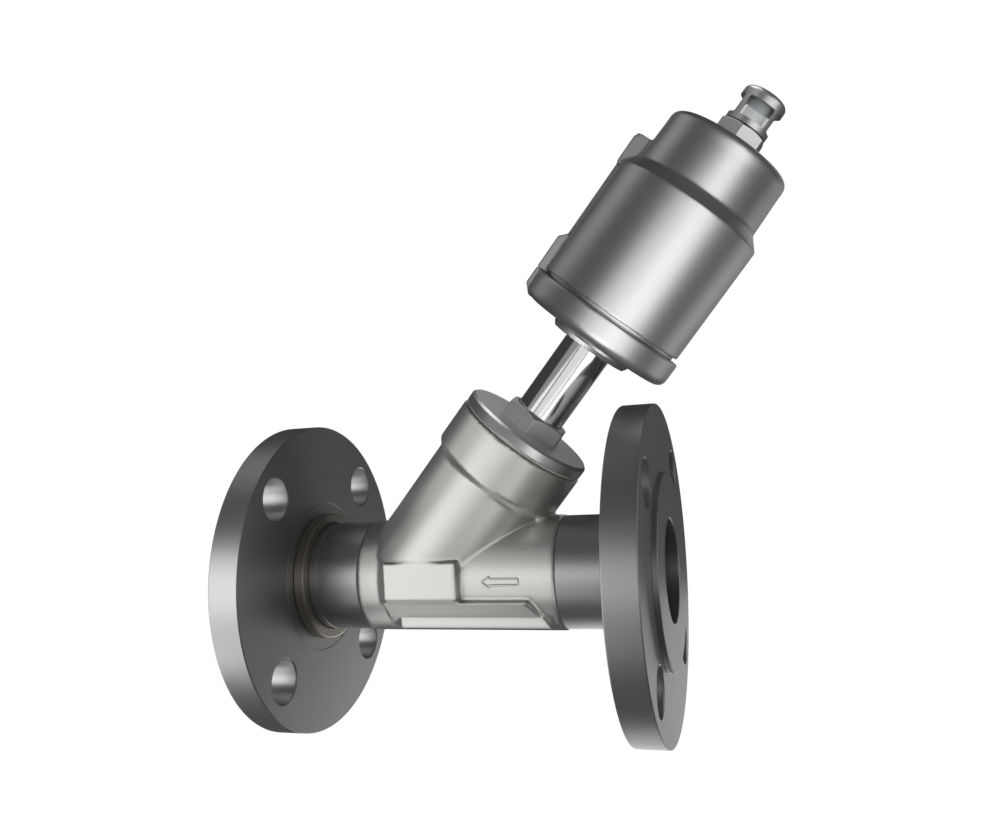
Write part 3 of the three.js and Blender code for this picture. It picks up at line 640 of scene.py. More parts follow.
def blasted_stainless(name):
    """Satin blasted shell: very fine grain over faint broad clouds, with painted shade in inner corners and in the
    groove above the base.
    """
    tone = settings().blasted
    made = Finish(name, Metallic=1)
    clouds = made.noise(22 * MM, 4, 0.55).between(0.30, 0.72)
    grain = made.noise(0.45 * MM, 3, 0.65)
    edge_tone_and_corner_shade = made.edges()
    skin_tone = made.mix(clouds, shade(tone, 0.93), shade(tone, 1.05))
    # painted shade: inner corners are darkened towards half the tone, where shade falls; outer edges are made
    # lighter below
    skin_tone = made.mix((0.5 - edge_tone_and_corner_shade).between(0.06, 0.5) * 0.4, skin_tone, shade(tone, 0.5))
    skin_tone = made.mix((edge_tone_and_corner_shade - 0.5).between(0.08, 0.5) * 0.3, skin_tone, shade(tone, 1.3))
    joint_shade = made.joint_shade_mask()
    # painted shade: the groove above the base is made nearly black, standing in for the shadow that falls in it
    skin_tone = made.mix(joint_shade, skin_tone, shade(tone, 0.12))
    made.feed("Base Color", skin_tone)
    made.feed("Roughness", settings().blasted_roughness - 0.06 + 0.08 * grain + 0.05 * clouds + 0.2 * joint_shade)
    made.emboss(0.05 * grain + 0.05 * made.noise(4 * MM, 2) + 0.02 * made.noise(1.2 * MM, 2))
    return made


def turned_stainless(name, tone=None, roughness=None, pitch=0.55, serration=0.0):
    """Lathe-turned steel: fine rings round the axis, faint stains, and grooves on a raised face."""
    tone = tone or settings().turned
    roughness = roughness or settings().turned_roughness
    made = Finish(name, Metallic=1, Anisotropic=0.45, Anisotropic_Rotation=0.25)
    up = made.axes()[2]
    along = made.radius() + up
    rings = made.lines(along, pitch * MM, 3)
    bands = made.lines(along, 6 * MM, 2)
    stains = made.noise(20 * MM, 5, 0.65).between(0.35, 0.72)
    skin_tone = made.mix(bands, shade(tone, 0.86), shade(tone, 1.08))
    skin_tone = made.mix(stains * 0.35, skin_tone, shade(tone, 0.72))
    skin_tone = made.mix(rings * 0.4, skin_tone, shade(tone, 1.15))
    made.feed("Base Color", skin_tone)
    made.feed("Roughness", roughness - 0.06 + 0.12 * rings + 0.05 * stains)
    height = 0.008 * rings + 0.004 * made.noise(0.4 * MM, 2)
    if serration:
        raised = up > reach("inlet_flange", INLET)[1] - 0.2 * MM
        height = height + raised * 0.02 * (made.radius() * (2 * math.pi / serration)).wave()
    made.emboss(height)
    return made


def machined_stainless(name):
    """Milled and turned small parts, a little finer and brighter than the flanges."""
    return turned_stainless(name, settings().machined, settings().turned_roughness + 0.02, 0.35)


def flange_stainless(name):
    """Turned steel with the grooves of a raised face."""
    return turned_stainless(name, serration=bpy.context.scene.valve_flanges.serration)


def polished_stainless(name):
    """Mirror-polished tube with faint wiping marks."""
    tone = settings().polished
    made = Finish(name, Metallic=1)
    up = made.axes()[2]
    wipes = made.lines(up + made.noise(9 * MM, 2) * 2 * MM, 0.8 * MM, 3)
    smudges = made.noise(7 * MM, 4, 0.6).between(0.45, 0.75)
    made.feed("Base Color", made.mix(smudges * 0.25, tone, shade(tone, 0.88)))
    made.feed("Roughness", 0.08 + 0.05 * wipes + 0.05 * smudges)
    made.emboss(0.0008 * wipes)
    return made


def heat_tinted_weld(name):
    """Dressed weld with a straw heat tint that fades outwards."""
    tone, steel = settings().tint, settings().turned
    made = Finish(name, Metallic=1, Anisotropic=0.4, Anisotropic_Rotation=0.25)
    outward = made.radius() / reach("inlet_weld", INLET)[2]
    uneven = made.noise(3 * MM, 4, 0.6)
    tint = (outward + 0.12 * uneven).between(0.86, 1.06)
    made.feed("Base Color", made.mix(tint, shade(steel, 0.8), made.mix(uneven, tone, shade(tone, 1.3))))
    rings = made.lines(made.radius(), 0.5 * MM, 3)
    made.feed("Roughness", 0.26 + 0.16 * rings + 0.05 * uneven)
    made.emboss(0.010 * rings + 0.05 * made.noise(2 * MM, 2))
    return made


def spring_steel(name):
    """Drawn wire with a dark oiled skin."""
    tone = settings().spring
    made = Finish(name, Metallic=1)
    skin = made.noise(2.5 * MM, 4, 0.65)
    made.feed("Base Color", made.mix(skin, shade(tone, 0.7), shade(tone, 1.15)))
    made.feed("Roughness", 0.28 + 0.16 * skin)
    made.emboss(0.01 * made.noise(0.5 * MM, 3))
    return made


def piston_alloy(name):
    """Bright turned aluminium."""
    return turned_stainless(name, settings().alloy, 0.36, 0.3)


def moulded(name, tone, roughness, depth, specular=0.5, sheen=0.0):
    """Moulded plastic or rubber with a fine uneven skin."""
    made = Finish(name, Metallic=0, Specular_IOR_Level=specular, Sheen_Weight=sheen)
    clouds = made.noise(5 * MM, 3, 0.6)
    skin = made.noise(0.4 * MM, 3, 0.6)
    made.feed("Base Color", made.mix(clouds, shade(tone, 0.88), shade(tone, 1.06)))
    made.feed("Roughness", roughness - 0.06 + 0.12 * skin)
    made.emboss(depth * skin + depth * clouds)
    return made


def ptfe(name):
    """Off-white seal plastic."""
    return moulded(name, settings().ptfe, 0.45, 0.008)


def black_rubber(name):
    """Dull black O-ring rubber."""
    return moulded(name, settings().rubber, 0.62, 0.012, 0.4, 0.1)


def indicator_red(name):
    """Red moulded indicator."""
    return moulded(name, settings().indicator, 0.32, 0.004)


def clear_plastic(name):
    """Clear moulded tube with a slight bloom."""
    tone = settings().glass
    made = Finish(name, Transmission_Weight=0.15, IOR=1.49)
    bloom = made.noise(3 * MM, 3, 0.6)
    made.feed("Base Color", made.mix(bloom, tone, shade(tone, 0.94)))
    made.feed("Roughness", 0.05 + 0.10 * bloom)
    made.emboss(0.003 * made.noise(2 * MM, 2))
    return made


FINISHES = {
    "cast_stainless": cast_stainless,
    "turned_stainless": flange_stainless,
    "heat_tinted_weld": heat_tinted_weld,
    "machined_stainless": machined_stainless,
    "polished_stainless": polished_stainless,
    "blasted_stainless": blasted_stainless,
    "spring_steel": spring_steel,
    "piston_alloy": piston_alloy,
    "ptfe": ptfe,
    "black_rubber": black_rubber,
    "clear_plastic": clear_plastic,
    "indicator_red": indicator_red,
}


def finish(slot):
    """The material of a slot, made the first time that it is asked for."""
    if slot not in bpy.data.materials:
        FINISHES[slot](slot)
    return bpy.data.materials[slot]


# ------------------------------------------------------------------ body
def keel(s):
    """Stepped rail along the underside, which rises out of the run and ends in a slant."""
    half = [(s.rail_flare, s.rail_top), (s.rail_width, s.rail_step), (s.rail_width, s.rail_bottom)]
    flush = half[:2] + [(s.rail_width - s.toe_inset, s.rail_bottom + s.toe_lift)]
    slope = s.rail_slant / (s.rail_top - s.rail_bottom)
    sections = []
    for side, start in ((flush, s.rail_start), (half, s.rail_start + s.rail_toe)):
        outline = side + [(-across, up) for across, up in reversed(side)]
        sections.append([(start, across, up) for across, up in outline])
    sections.append([(s.rail_end - s.rail_slant + slope * (s.rail_top - up), across, up)
                     for start, across, up in sections[-1]])
    return lofted(sections)


def side_pad(s, side):
    """Raised pad on one side of the casting, with drafted edges."""
    root = s.pad_face / 2
    pad = block((s.pad_start, s.pad_low, root), (s.pad_end, s.pad_high, s.pad_face), 0.5 * MM)
    turn = Matrix.Rotation(math.radians(90), 4, "X")
    return moved(pad, Matrix.Rotation(math.pi, 4, "X") @ turn if side > 0 else turn)


def heel(s):
    """Rounded blind end of the branch, which stops at the rail."""
    steps = 24
    turns = [math.pi * (i / steps - 0.5) for i in range(steps + 1)]
    arc = [(s.heel_radius * math.cos(a), s.heel_radius * math.sin(a)) for a in turns]
    arc[0], arc[-1] = (0, -s.heel_radius), (0, s.heel_radius)
    ball = moved(lathed(arc, 96), Matrix.Translation(FOOT))
    far = 4 * s.heel_radius
    return joined("INTERSECT", ball, block((-far, -far, s.rail_top - 1.5 * MM), (far, far, far)))


def body_cavity(s):
    """Tools that cut the two ways, the chamber and the seat into the casting."""
    far = 120 * MM
    seat = moved(block((-far, -far, s.seat_height), (far, far, far)), BRANCH)
    web = moved(block((-far, -far, -far), (far, far, s.seat_height - s.seat_web)), BRANCH)
    run = [moved(cylinder(s.bore_radius, -far, far), INLET) for i in range(2)]
    limit = block((-far, -far, -far), (s.bore_radius, far, far))
    start = block((-2 * s.bore_radius, -far, -far), (far, far, far))
    outlet_way = joined("INTERSECT", run[0], web, limit)
    inlet_way = joined("INTERSECT", run[1], seat, start)
    above = s.collar_top + 5 * MM
    chamber = lathed([(0, s.seat_height), (s.chamber_radius, s.seat_height, 1.5 * MM),
                      (s.chamber_radius, s.thread_low), (s.thread_radius, s.thread_low + 0.6 * MM),
                      (s.thread_radius, above), (0, above)])
    below = -9 * MM
    seat_hole = lathed([(0, below), (s.seat_radius, below),
                        (s.seat_radius, s.seat_height - 0.6 * MM),
                        (s.seat_radius + 1.6 * MM, s.seat_height + OVER), (0, s.seat_height + OVER)])
    return [outlet_way, inlet_way, moved(chamber, BRANCH), moved(seat_hole, BRANCH)]


def cast_body(s):
    """The cast run, branch, collar, pads and rail, fused and then bored."""
    over = 0.6 * MM
    run = moved(cylinder(s.cast_radius, -s.turned_start - over, s.turned_start + over), INLET)
    branch = lathed([(0, 0), (s.branch_radius, 0), (s.branch_radius, s.collar_low - s.collar_chamfer),
                     (s.collar_radius, s.collar_low), (s.collar_radius, s.collar_top), (0, s.collar_top)])
    parts = [run, moved(branch, BRANCH), heel(s), keel(s), side_pad(s, -1), side_pad(s, 1)]
    return cut(fused(parts, s.grain, s.softening), *body_cavity(s))


def turned_end(s, end):
    """Turned end of the run, with the groove where it leaves the casting and a line by the weld."""
    start, line, depth = s.turned_start, s.line_place, 0.4 * MM
    return lathed([
        (s.bore_radius, start), (s.cast_radius - s.groove_depth, start),
        (s.cast_radius - s.groove_depth, start + 0.6 * s.groove_width, 0.2 * MM),
        (s.pipe_radius, start + s.groove_width, BREAK), (s.pipe_radius, line - depth),
        (s.pipe_radius - depth, line), (s.pipe_radius, line + depth), (s.pipe_radius, end),
        (s.bore_radius, end),
    ])


def flow_arrow(s):
    """Raised outline of an arrow on the run, pointing the way the fluid flows."""
    head, half_head, half_shaft = 3.4 * MM, 2.4 * MM, 1.3 * MM
    tip, tail = s.arrow_tip, s.arrow_tail
    corners = rounded([
        (tip, 0, 0.5 * MM), (tip + head, -half_head, 0.4 * MM), (tip + head, -half_shaft, BREAK),
        (tail, -half_shaft, SOFT), (tail, half_shaft, SOFT), (tip + head, half_shaft, BREAK),
        (tip + head, half_head, 0.4 * MM),
    ])
    path = []
    for here, on in zip(corners, corners[1:] + corners[:1]):
        start, end = Vector(here), Vector(on)
        count = max(1, round((end - start).length / (0.5 * MM)))
        path += [start.lerp(end, i / count) for i in range(count)]
    wide, tall = s.arrow_line / 2, 0.55 * MM
    sections = []
    for i, point in enumerate(path):
        outward = Vector((0, -math.sqrt(s.cast_radius ** 2 - point.y ** 2), point.y)).normalized()
        middle = Vector((point.x, 0, 0)) + outward * (s.cast_radius - 0.05 * MM)
        heading = path[(i + 1) % len(path)] - path[i - 1]
        forward = Vector((heading.x, 0, heading.y)).normalized()
        aside = forward.cross(outward).normalized()
        sections.append([middle + aside * wide * math.cos(a) + outward * tall * math.sin(a)
                         for a in round_turns(10)])
    return lofted(sections, closed=True)


class VALVE_OT_body(bpy.types.Operator):
    """Body casting with its turned ends and flow arrow"""

    bl_idname = "valve.body"
    bl_label = "Body casting"

    def execute(self, context):
        s = context.scene.valve_body
        end = reach("body_casting", INLET)[1]
        piece("cast_body", cast_body(s), WORLD, "valve_body", "cast_stainless", "body_casting", even=False)
        for name, place in (("inlet", INLET), ("outlet", OUTLET)):
            piece(f"turned_end_{name}", turned_end(s, end), place, "valve_body", "turned_stainless",
                  "body_casting")
        piece("flow_arrow", flow_arrow(s), WORLD, "valve_body", "cast_stainless", "body_casting")
        return {"FINISHED"}


# ------------------------------------------------------------------ flanges
def flange(s, body):
    """Flange with a raised face, a socket for the pipe and bolt holes."""
    low, high, radius = reach("inlet_flange", INLET)
    outer = high - s.raised_height
    socket = low + s.socket_depth + GAP
    line = 0.25 * MM
    plate = lathed([
        (body.pipe_radius + GAP, low, BREAK),
        (s.mark_radius - line, low), (s.mark_radius, low + line), (s.mark_radius + line, low),
        (radius, low, s.edge), (radius, outer, s.edge),
        (s.raised_radius, outer, 0.5 * MM), (s.raised_radius, high, BREAK),
        (body.bore_radius, high, 0.5 * MM), (body.bore_radius, socket), (body.pipe_radius + GAP, socket),
    ], 192)
    chamfer = s.hole_chamfer
    wide = s.bolt_hole + chamfer + 1 * MM
    holes = []
    for i in range(s.bolts):
        hole = lathed([
            (0, low - OVER), (wide, low - OVER), (s.bolt_hole, low + chamfer),
            (s.bolt_hole, outer - chamfer), (wide, outer + OVER), (0, outer + OVER),
        ], SMALL_SIDES)
        turn = 2 * math.pi * (i + 0.5) / s.bolts
        where = Vector((s.bolt_circle * math.cos(turn), s.bolt_circle * math.sin(turn), 0))
        holes.append(moved(hole, Matrix.Translation(where)))
    return cut(plate, *holes)


def weld(body):
    """Dressed weld with a flat end and a faintly rippled side, between pipe and flange."""
    low, high, radius = reach("inlet_weld", INLET)
    inner = body.pipe_radius + GAP
    bead = lathed([
        (inner, low, BREAK), (radius, low, 0.7 * MM), (radius, high, 0), (inner, high, 0),
    ], 240)
    for vertex in bead.vertices:
        turn = math.atan2(vertex.co.y, vertex.co.x)
        if vertex.co.xy.length > inner + 2 * MM and low + MM < vertex.co.z < high - MM:
            vertex.co.xy *= 1 - 0.002 * (1 + math.sin(58 * turn + 2 * math.sin(5 * turn)))
    return bead


class VALVE_OT_flanges(bpy.types.Operator):
    """Both flanges and the welds that hold them"""

    bl_idname = "valve.flanges"
    bl_label = "Flanges and welds"

    def execute(self, context):
        s, body = context.scene.valve_flanges, context.scene.valve_body
        for name, place in (("inlet", INLET), ("outlet", OUTLET)):
            piece(f"{name}_flange_disc", flange(s, body), place, "valve_body", "turned_stainless",
                  f"{name}_flange")
            piece(f"{name}_weld_bead", weld(body), place, "valve_body", "heat_tinted_weld", f"{name}_weld")
        return {"FINISHED"}


# ------------------------------------------------------------------ bonnet and neck
def chamfered_hexagon(flats, low, high, turn):
    """Hexagon whose upper corners are turned off at a slant."""
    corner = flats / math.sqrt(3)
    drop = 0.5 * (corner - flats / 2)
    far = corner + 1 * MM
    envelope = lathed([(0, low), (far, low), (far, high - drop - 0.6 * MM),
                       (flats / 2 - 0.3 * MM, high), (0, high)])
    return joined("INTERSECT", hexagon(flats, low, high, turn, 0.7 * MM), envelope)


def bonnet(s, body):
    """Screwed bonnet with its rim, hexagon and packing chamber."""
    low, high, radius = reach("bonnet", BRANCH)
    skirt = body.thread_radius - GAP
    neck = reach("neck_tube", BRANCH)[2] + GAP
    stem = reach("stem", BRANCH)[2] + GAP
    disc = lathed([
        (0, low), (skirt, low, 0.5 * MM), (skirt, s.rim_low), (radius, s.rim_low, 0.4 * MM),
        (radius, s.rim_top - s.rim_chamfer, BREAK), (radius - s.rim_chamfer, s.rim_top, BREAK),
        (0, s.rim_top),
    ])
    nut = chamfered_hexagon(s.hex_flats, s.rim_top - OVER, high, s.hex_turn)
    bore = lathed([
        (0, low - OVER), (stem, low - OVER), (stem, s.packing_low), (s.packing_radius, s.packing_low),
        (s.packing_radius, s.packing_top), (neck, s.packing_top), (neck, high - 0.5 * MM),
        (neck + 1.5 * MM, high + OVER), (0, high + OVER),
    ])
    inner, outer, roof = s.packing_radius + s.packing_wall, skirt - s.skirt_wall, s.rim_low - s.rim_floor
    recess = lathed([(inner, low - OVER), (outer, low - OVER), (outer, roof, 1 * MM), (inner, roof, 1 * MM)])
    return bevelled(cut(joined("UNION", disc, nut), bore, recess), 0.18 * MM)


def neck_tube(s):
    """Polished neck tube with the retaining ring's groove at its top."""
    low, high, radius = reach("neck_tube", BRANCH)
    return lathed([
        (s.neck_bore, low), (radius, low), (radius, s.clip_low), (s.clip_radius, s.clip_low),
        (s.clip_radius, s.clip_high), (radius, s.clip_high), (radius, high, 0.5 * MM),
        (s.bush_bore, high), (s.bush_bore, s.bush_low), (s.neck_bore, s.bush_low),
    ])


def neck_nut():
    """Round lock nut under the actuator."""
    low, high, radius = reach("neck_nut", BRANCH)
    inner = reach("neck_tube", BRANCH)[2] + GAP
    return lathed([
        (inner, low, 0.4 * MM), (radius - 1.2 * MM, low, BREAK), (radius, low + 1.8 * MM, BREAK),
        (radius, high, BREAK), (inner, high, 0.2 * MM),
    ])


def gasket():
    """Flat gasket between collar and bonnet."""
    low, high, radius = reach("bonnet_gasket", BRANCH)
    inner = bpy.context.scene.valve_body.thread_radius + 0.2 * MM
    return lathed([(inner, low, 0.1 * MM), (radius, low, 0.2 * MM), (radius, high, 0.2 * MM),
                   (inner, high, 0.1 * MM)])


class VALVE_OT_bonnet(bpy.types.Operator):
    """Bonnet, gasket, neck tube and lock nut"""

    bl_idname = "valve.bonnet"
    bl_label = "Bonnet and neck"

    def execute(self, context):
        s, body = context.scene.valve_bonnet, context.scene.valve_body
        piece("bonnet_cover", bonnet(s, body), BRANCH, "valve_body", "machined_stainless", "bonnet")
        piece("gasket_ring", gasket(), BRANCH, "valve_body", "ptfe", "bonnet_gasket")
        piece("neck_sleeve", neck_tube(s), BRANCH, "valve_body", "polished_stainless", "neck_tube")
        piece("lock_nut", neck_nut(), BRANCH, "valve_body", "machined_stainless", "neck_nut")
        return {"FINISHED"}


# ------------------------------------------------------------------ actuator
def lug_block(face, half_width, low, high, cuts=()):
    """Block from near the axis out to a face on the lug's side, with sloping corners as (height, drop)."""
    outline = [(0, low), (face, low), (face, high), (0, high)]
    for height, drop in cuts:
        corner = outline.index((face, height))
        inner = low + drop if height == low else high - drop
        pair = [(face - drop, height), (face, inner)]
        outline[corner:corner + 1] = pair if height == low else pair[::-1]
    return lofted([[(-across, side, up) for across, up in outline] for side in (-half_width, half_width)])


def actuator_base(s):
    """Round base with the lug's foot, and the spigot that carries the housing."""
    low, high, _ = reach("actuator_base", BRANCH)
    plate = lathed([(0, low), (s.base_radius, low, s.base_rounding),
                    (s.base_radius, s.base_top, 0.8 * MM), (0, s.base_top)])
    foot = lug_block(s.boss_face, s.boss_width, low, s.base_top, [(low, s.base_rounding)])
    shell = fused([plate, foot], s.grain, s.softening)
    ring_low, ring_high, _ = reach("base_o_ring", BRANCH)
    face, root = s.cylinder_bore - GAP, s.cylinder_bore - 2.2 * MM
    spigot = lathed([
        (0, s.base_top - OVER), (face, s.base_top - OVER), (face, ring_low - 0.2 * MM),
        (root, ring_low - 0.2 * MM), (root, ring_high + 0.2 * MM), (face, ring_high + 0.2 * MM),
        (face, high, 0.4 * MM), (0, high),
    ])
    clip = s.base_bore + 0.6 * MM
    clip_low = bpy.context.scene.valve_bonnet.clip_low - 0.6 * MM
    bore = lathed([
        (0, low - OVER), (s.base_bore + 1.5 * MM, low - OVER), (s.base_bore, low + 0.5 * MM),
        (s.base_bore, clip_low), (clip, clip_low), (clip, high + OVER), (0, high + OVER),
    ])
    return cut(joined("UNION", shell, spigot), bore)


def actuator_housing(s):
    """Cylinder, shoulder and cap with the lug that carries both air ports."""
    low, high, _ = reach("actuator_housing", BRANCH)
    start = low + s.groove_height
    shell = lathed([
        (0, start), (s.housing_radius, start), (s.housing_radius, s.shoulder_low),
        (s.cap_radius, s.shoulder_top), (s.cap_top_radius, high - s.cap_rounding),
        (s.cap_top_radius, high, s.cap_rounding), (0, high),
    ])
    rib = lug_block(s.rib_face, s.rib_width, s.lower_port, s.upper_top)
    lower = lug_block(s.boss_face, s.boss_width, s.base_top + 0.05 * MM, s.boss_top, [(s.boss_top, 3 * MM)])
    upper = lug_block(s.upper_face, s.boss_width, s.upper_low, s.upper_top, [(s.upper_top, 2 * MM)])
    fused_shell = fused([shell, rib, lower, upper], s.grain, s.softening)
    groove = lathed([(0, low), (s.groove_radius, low, 0.2 * MM), (s.groove_radius, start + OVER),
                     (0, start + OVER)])
    thread = bpy.context.scene.valve_sight.thread_radius + GAP
    bore = lathed([
        (0, low - OVER), (s.cylinder_bore, low - OVER), (s.cylinder_bore, s.shoulder_low - OVER),
        (s.cap_bore, s.shoulder_top), (s.cap_bore, s.roof, 2 * MM), (thread, s.roof),
        (thread, high + OVER), (0, high + OVER),
    ])
    ports = []
    for height, face in ((s.lower_port, s.boss_face), (s.upper_port, s.upper_face)):
        port = lathed([
            (0, s.rib_width), (s.port_radius, s.rib_width), (s.port_radius, face - 0.8 * MM),
            (s.port_radius + 2 * MM, face + 1.2 * MM), (0, face + 1.2 * MM),
        ], SMALL_SIDES)
        place = Matrix.Translation((0, 0, height)) @ Matrix.Rotation(-math.pi / 2, 4, "Y")
        ports.append(moved(port, place))
    return cut(joined("UNION", fused_shell, groove), bore, *ports)


class VALVE_OT_actuator(bpy.types.Operator):
    """Base and housing of the pneumatic actuator"""

    bl_idname = "valve.actuator"
    bl_label = "Actuator shells"

    def execute(self, context):
        s = context.scene.valve_actuator
        piece("base_shell", actuator_base(s), BRANCH, "actuator", "blasted_stainless", "actuator_base",
              even=False)
        piece("housing_shell", actuator_housing(s), BRANCH, "actuator", "blasted_stainless",
              "actuator_housing", even=False)
        return {"FINISHED"}


# ------------------------------------------------------------------ sight indicator
def sight_base(s):
    """Hexagonal foot of the sight indicator, screwed into the housing's roof."""
    low, high, _ = reach("sight_base", BRANCH)
    top = reach("actuator_housing", BRANCH)[1] + GAP
    spigot = s.cage_bore - GAP
    core = lathed([
        (0, low), (s.thread_radius, low, SOFT), (s.thread_radius, s.hex_top - OVER),
        (spigot, s.hex_top - OVER), (spigot, high, 0.2 * MM), (0, high),
    ], SMALL_SIDES)
    nut = chamfered_hexagon(s.hex_flats, top, s.hex_top, s.hex_turn)
    bore = cylinder(s.bore_radius, low - OVER, high + OVER, SMALL_SIDES)
    return bevelled(cut(joined("UNION", core, nut), bore), 0.15 * MM)


def sight_cage(s):
    """Metal cage over the glass, with a ring of windows."""
    low, high, _ = reach("sight_cage", BRANCH)
    shell = lathed([
        (s.cage_bore, low), (s.cage_radius, low, BREAK), (s.cage_radius, high, s.cage_edge), (0, high),
        (0, s.cage_roof), (s.cage_bore, s.cage_roof),
    ], 96)
    windows = []
    half, corner = s.window_width / 2, 0.8 * MM
    outline = rounded([(s.window_low, -half, corner), (s.window_high, -half, corner),
                       (s.window_high, half, corner), (s.window_low, half, corner)])
    for turn in round_turns(s.windows):
        ends = (2 * MM, 2 * s.cage_radius)
        tool = lofted([[(across, side, up) for up, side in outline] for across in ends])
        windows.append(moved(tool, Matrix.Rotation(s.window_turn + turn, 4, "Z")))
    return bevelled(cut(shell, *windows), 0.12 * MM)


def sight_glass(s):
    """Clear cup inside the cage."""
    low, high, radius = reach("sight_glass", BRANCH)
    return lathed([
        (0, high - s.glass_wall), (radius - s.glass_wall, high - s.glass_wall, SOFT),
        (radius - s.glass_wall, low), (radius, low), (radius, high, SOFT), (0, high),
    ], SMALL_SIDES)


def indicator_rod():
    """Rod with a thicker rounded tip that rises into the sight glass."""
    low, high, radius = reach("indicator_rod", BRANCH)
    thin, tip = 0.61 * radius, high - 5 * MM
    return lathed([
        (0, low), (thin, low), (thin, tip, 0.4 * MM), (radius, tip, BREAK),
        (radius, high, 1 * MM), (0, high),
    ], SMALL_SIDES)


class VALVE_OT_sight(bpy.types.Operator):
    """Sight indicator on top of the actuator"""

    bl_idname = "valve.sight"
    bl_label = "Sight indicator"

    def execute(self, context):
        s = context.scene.valve_sight
        piece("sight_foot", sight_base(s), BRANCH, "actuator", "machined_stainless", "sight_base")
        piece("sight_guard", sight_cage(s), BRANCH, "actuator", "machined_stainless", "sight_cage")
        piece("sight_lens", sight_glass(s), BRANCH, "actuator", "clear_plastic", "sight_glass")
        piece("indicator_pin", indicator_rod(), BRANCH, "stem_assembly", "indicator_red", "indicator_rod")
        return {"FINISHED"}


# ------------------------------------------------------------------ inner parts
def wound(node, wire, turns):
    """Compression spring that fills a CAD spring's room, with half a flat turn at each end."""
    low, high, radius = reach(node, BRANCH)
    mean, steps = radius - wire, 36
    sections = []
    for i in range(round(turns * steps) + 1):
        turn = 2 * math.pi * i / steps
        rise = min(1, max(0, (i / steps - 0.5) / (turns - 1)))
        height = low + wire + (high - low - 2 * wire) * rise
        outward = Vector((math.cos(turn), math.sin(turn), 0))
        middle = outward * mean + Vector((0, 0, height))
        sections.append([middle + outward * wire * math.cos(a) + Vector((0, 0, wire * math.sin(a)))
                         for a in round_turns(14)])
    return lofted(sections)


class VALVE_OT_springs(bpy.types.Operator):
    """Two nested return springs"""

    bl_idname = "valve.springs"
    bl_label = "Return springs"

    def execute(self, context):
        for name, wire, turns in (("outer", 2.1 * MM, 6), ("inner", 1.6 * MM, 7)):
            node = f"return_spring_{name}"
            mesh = wound(node, wire, turns)
            made = piece(f"{name}_spring", mesh, BRANCH, "actuator", "spring_steel", node)
            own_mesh(made)
        return {"FINISHED"}


def plug_holder():
    """Plug's body, with a slanted upper edge."""
    low, high, radius = reach("plug_holder", BRANCH)
    bore = reach("plug_nut", BRANCH)[2] * 0.57
    return lathed([(bore, low), (radius, low, SOFT), (radius, high - 6 * MM, 1 * MM),
                   (radius - 5 * MM, high, 0.8 * MM), (bore, high, BREAK)])


def plain_ring(node, bore):
    """Flat ring in the place of a CAD ring."""
    low, high, radius = reach(node, BRANCH)
    return lathed([(bore, low, 0.1 * MM), (radius, low, SOFT), (radius, high, 0.2 * MM),
                   (bore, high, 0.1 * MM)], SMALL_SIDES)


def stem():
    """Stem with thinner ends for the plug and the piston."""
    low, high, radius = reach("stem", BRANCH)
    thin = 0.8 * radius
    plug_top, piston_low = reach("plug_holder", BRANCH)[1] + GAP, reach("piston", BRANCH)[0] - GAP
    return lathed([(0, low), (thin, low, SOFT), (thin, plug_top), (radius, plug_top, 0.4 * MM),
                   (radius, piston_low, 0.4 * MM), (thin, piston_low), (thin, high, SOFT), (0, high)],
                  SMALL_SIDES)


def plug_nut(bore):
    """Nut under the plug."""
    low, high, radius = reach("plug_nut", BRANCH)
    nut = chamfered_hexagon(radius * math.sqrt(3), low, high, 0)
    return bevelled(cut(nut, cylinder(bore, low - OVER, high + OVER, SMALL_SIDES)), 0.15 * MM)


class VALVE_OT_plug(bpy.types.Operator):
    """Stem, plug, seat seal and the nut that holds them"""

    bl_idname = "valve.plug"
    bl_label = "Stem and plug"

    def execute(self, context):
        bore = 0.8 * reach("stem", BRANCH)[2] + GAP
        piece("stem_rod", stem(), BRANCH, "stem_assembly", "polished_stainless", "stem")
        piece("plug_disc", plug_holder(), BRANCH, "plug", "machined_stainless", "plug_holder")
        piece("seal_disc", plain_ring("seat_seal", bore), BRANCH, "plug", "ptfe", "seat_seal")
        piece("seal_washer", plain_ring("seal_retainer", bore), BRANCH, "plug", "machined_stainless",
              "seal_retainer")
        piece("plug_lock_nut", plug_nut(bore), BRANCH, "stem_assembly", "machined_stainless", "plug_nut")
        return {"FINISHED"}


class VALVE_OT_inner(bpy.types.Operator):
    """Finishes of the CAD parts that are shown as they are"""

    bl_idname = "valve.inner"
    bl_label = "Inner parts"

    def execute(self, context):
        for part in frame["record"]["subparts"]:
            node = frame["nodes"][part["node"]]
            if not node.hide_render:
                node.data.materials.clear()
                node.data.materials.append(finish(part["material_slot"]))
        return {"FINISHED"}


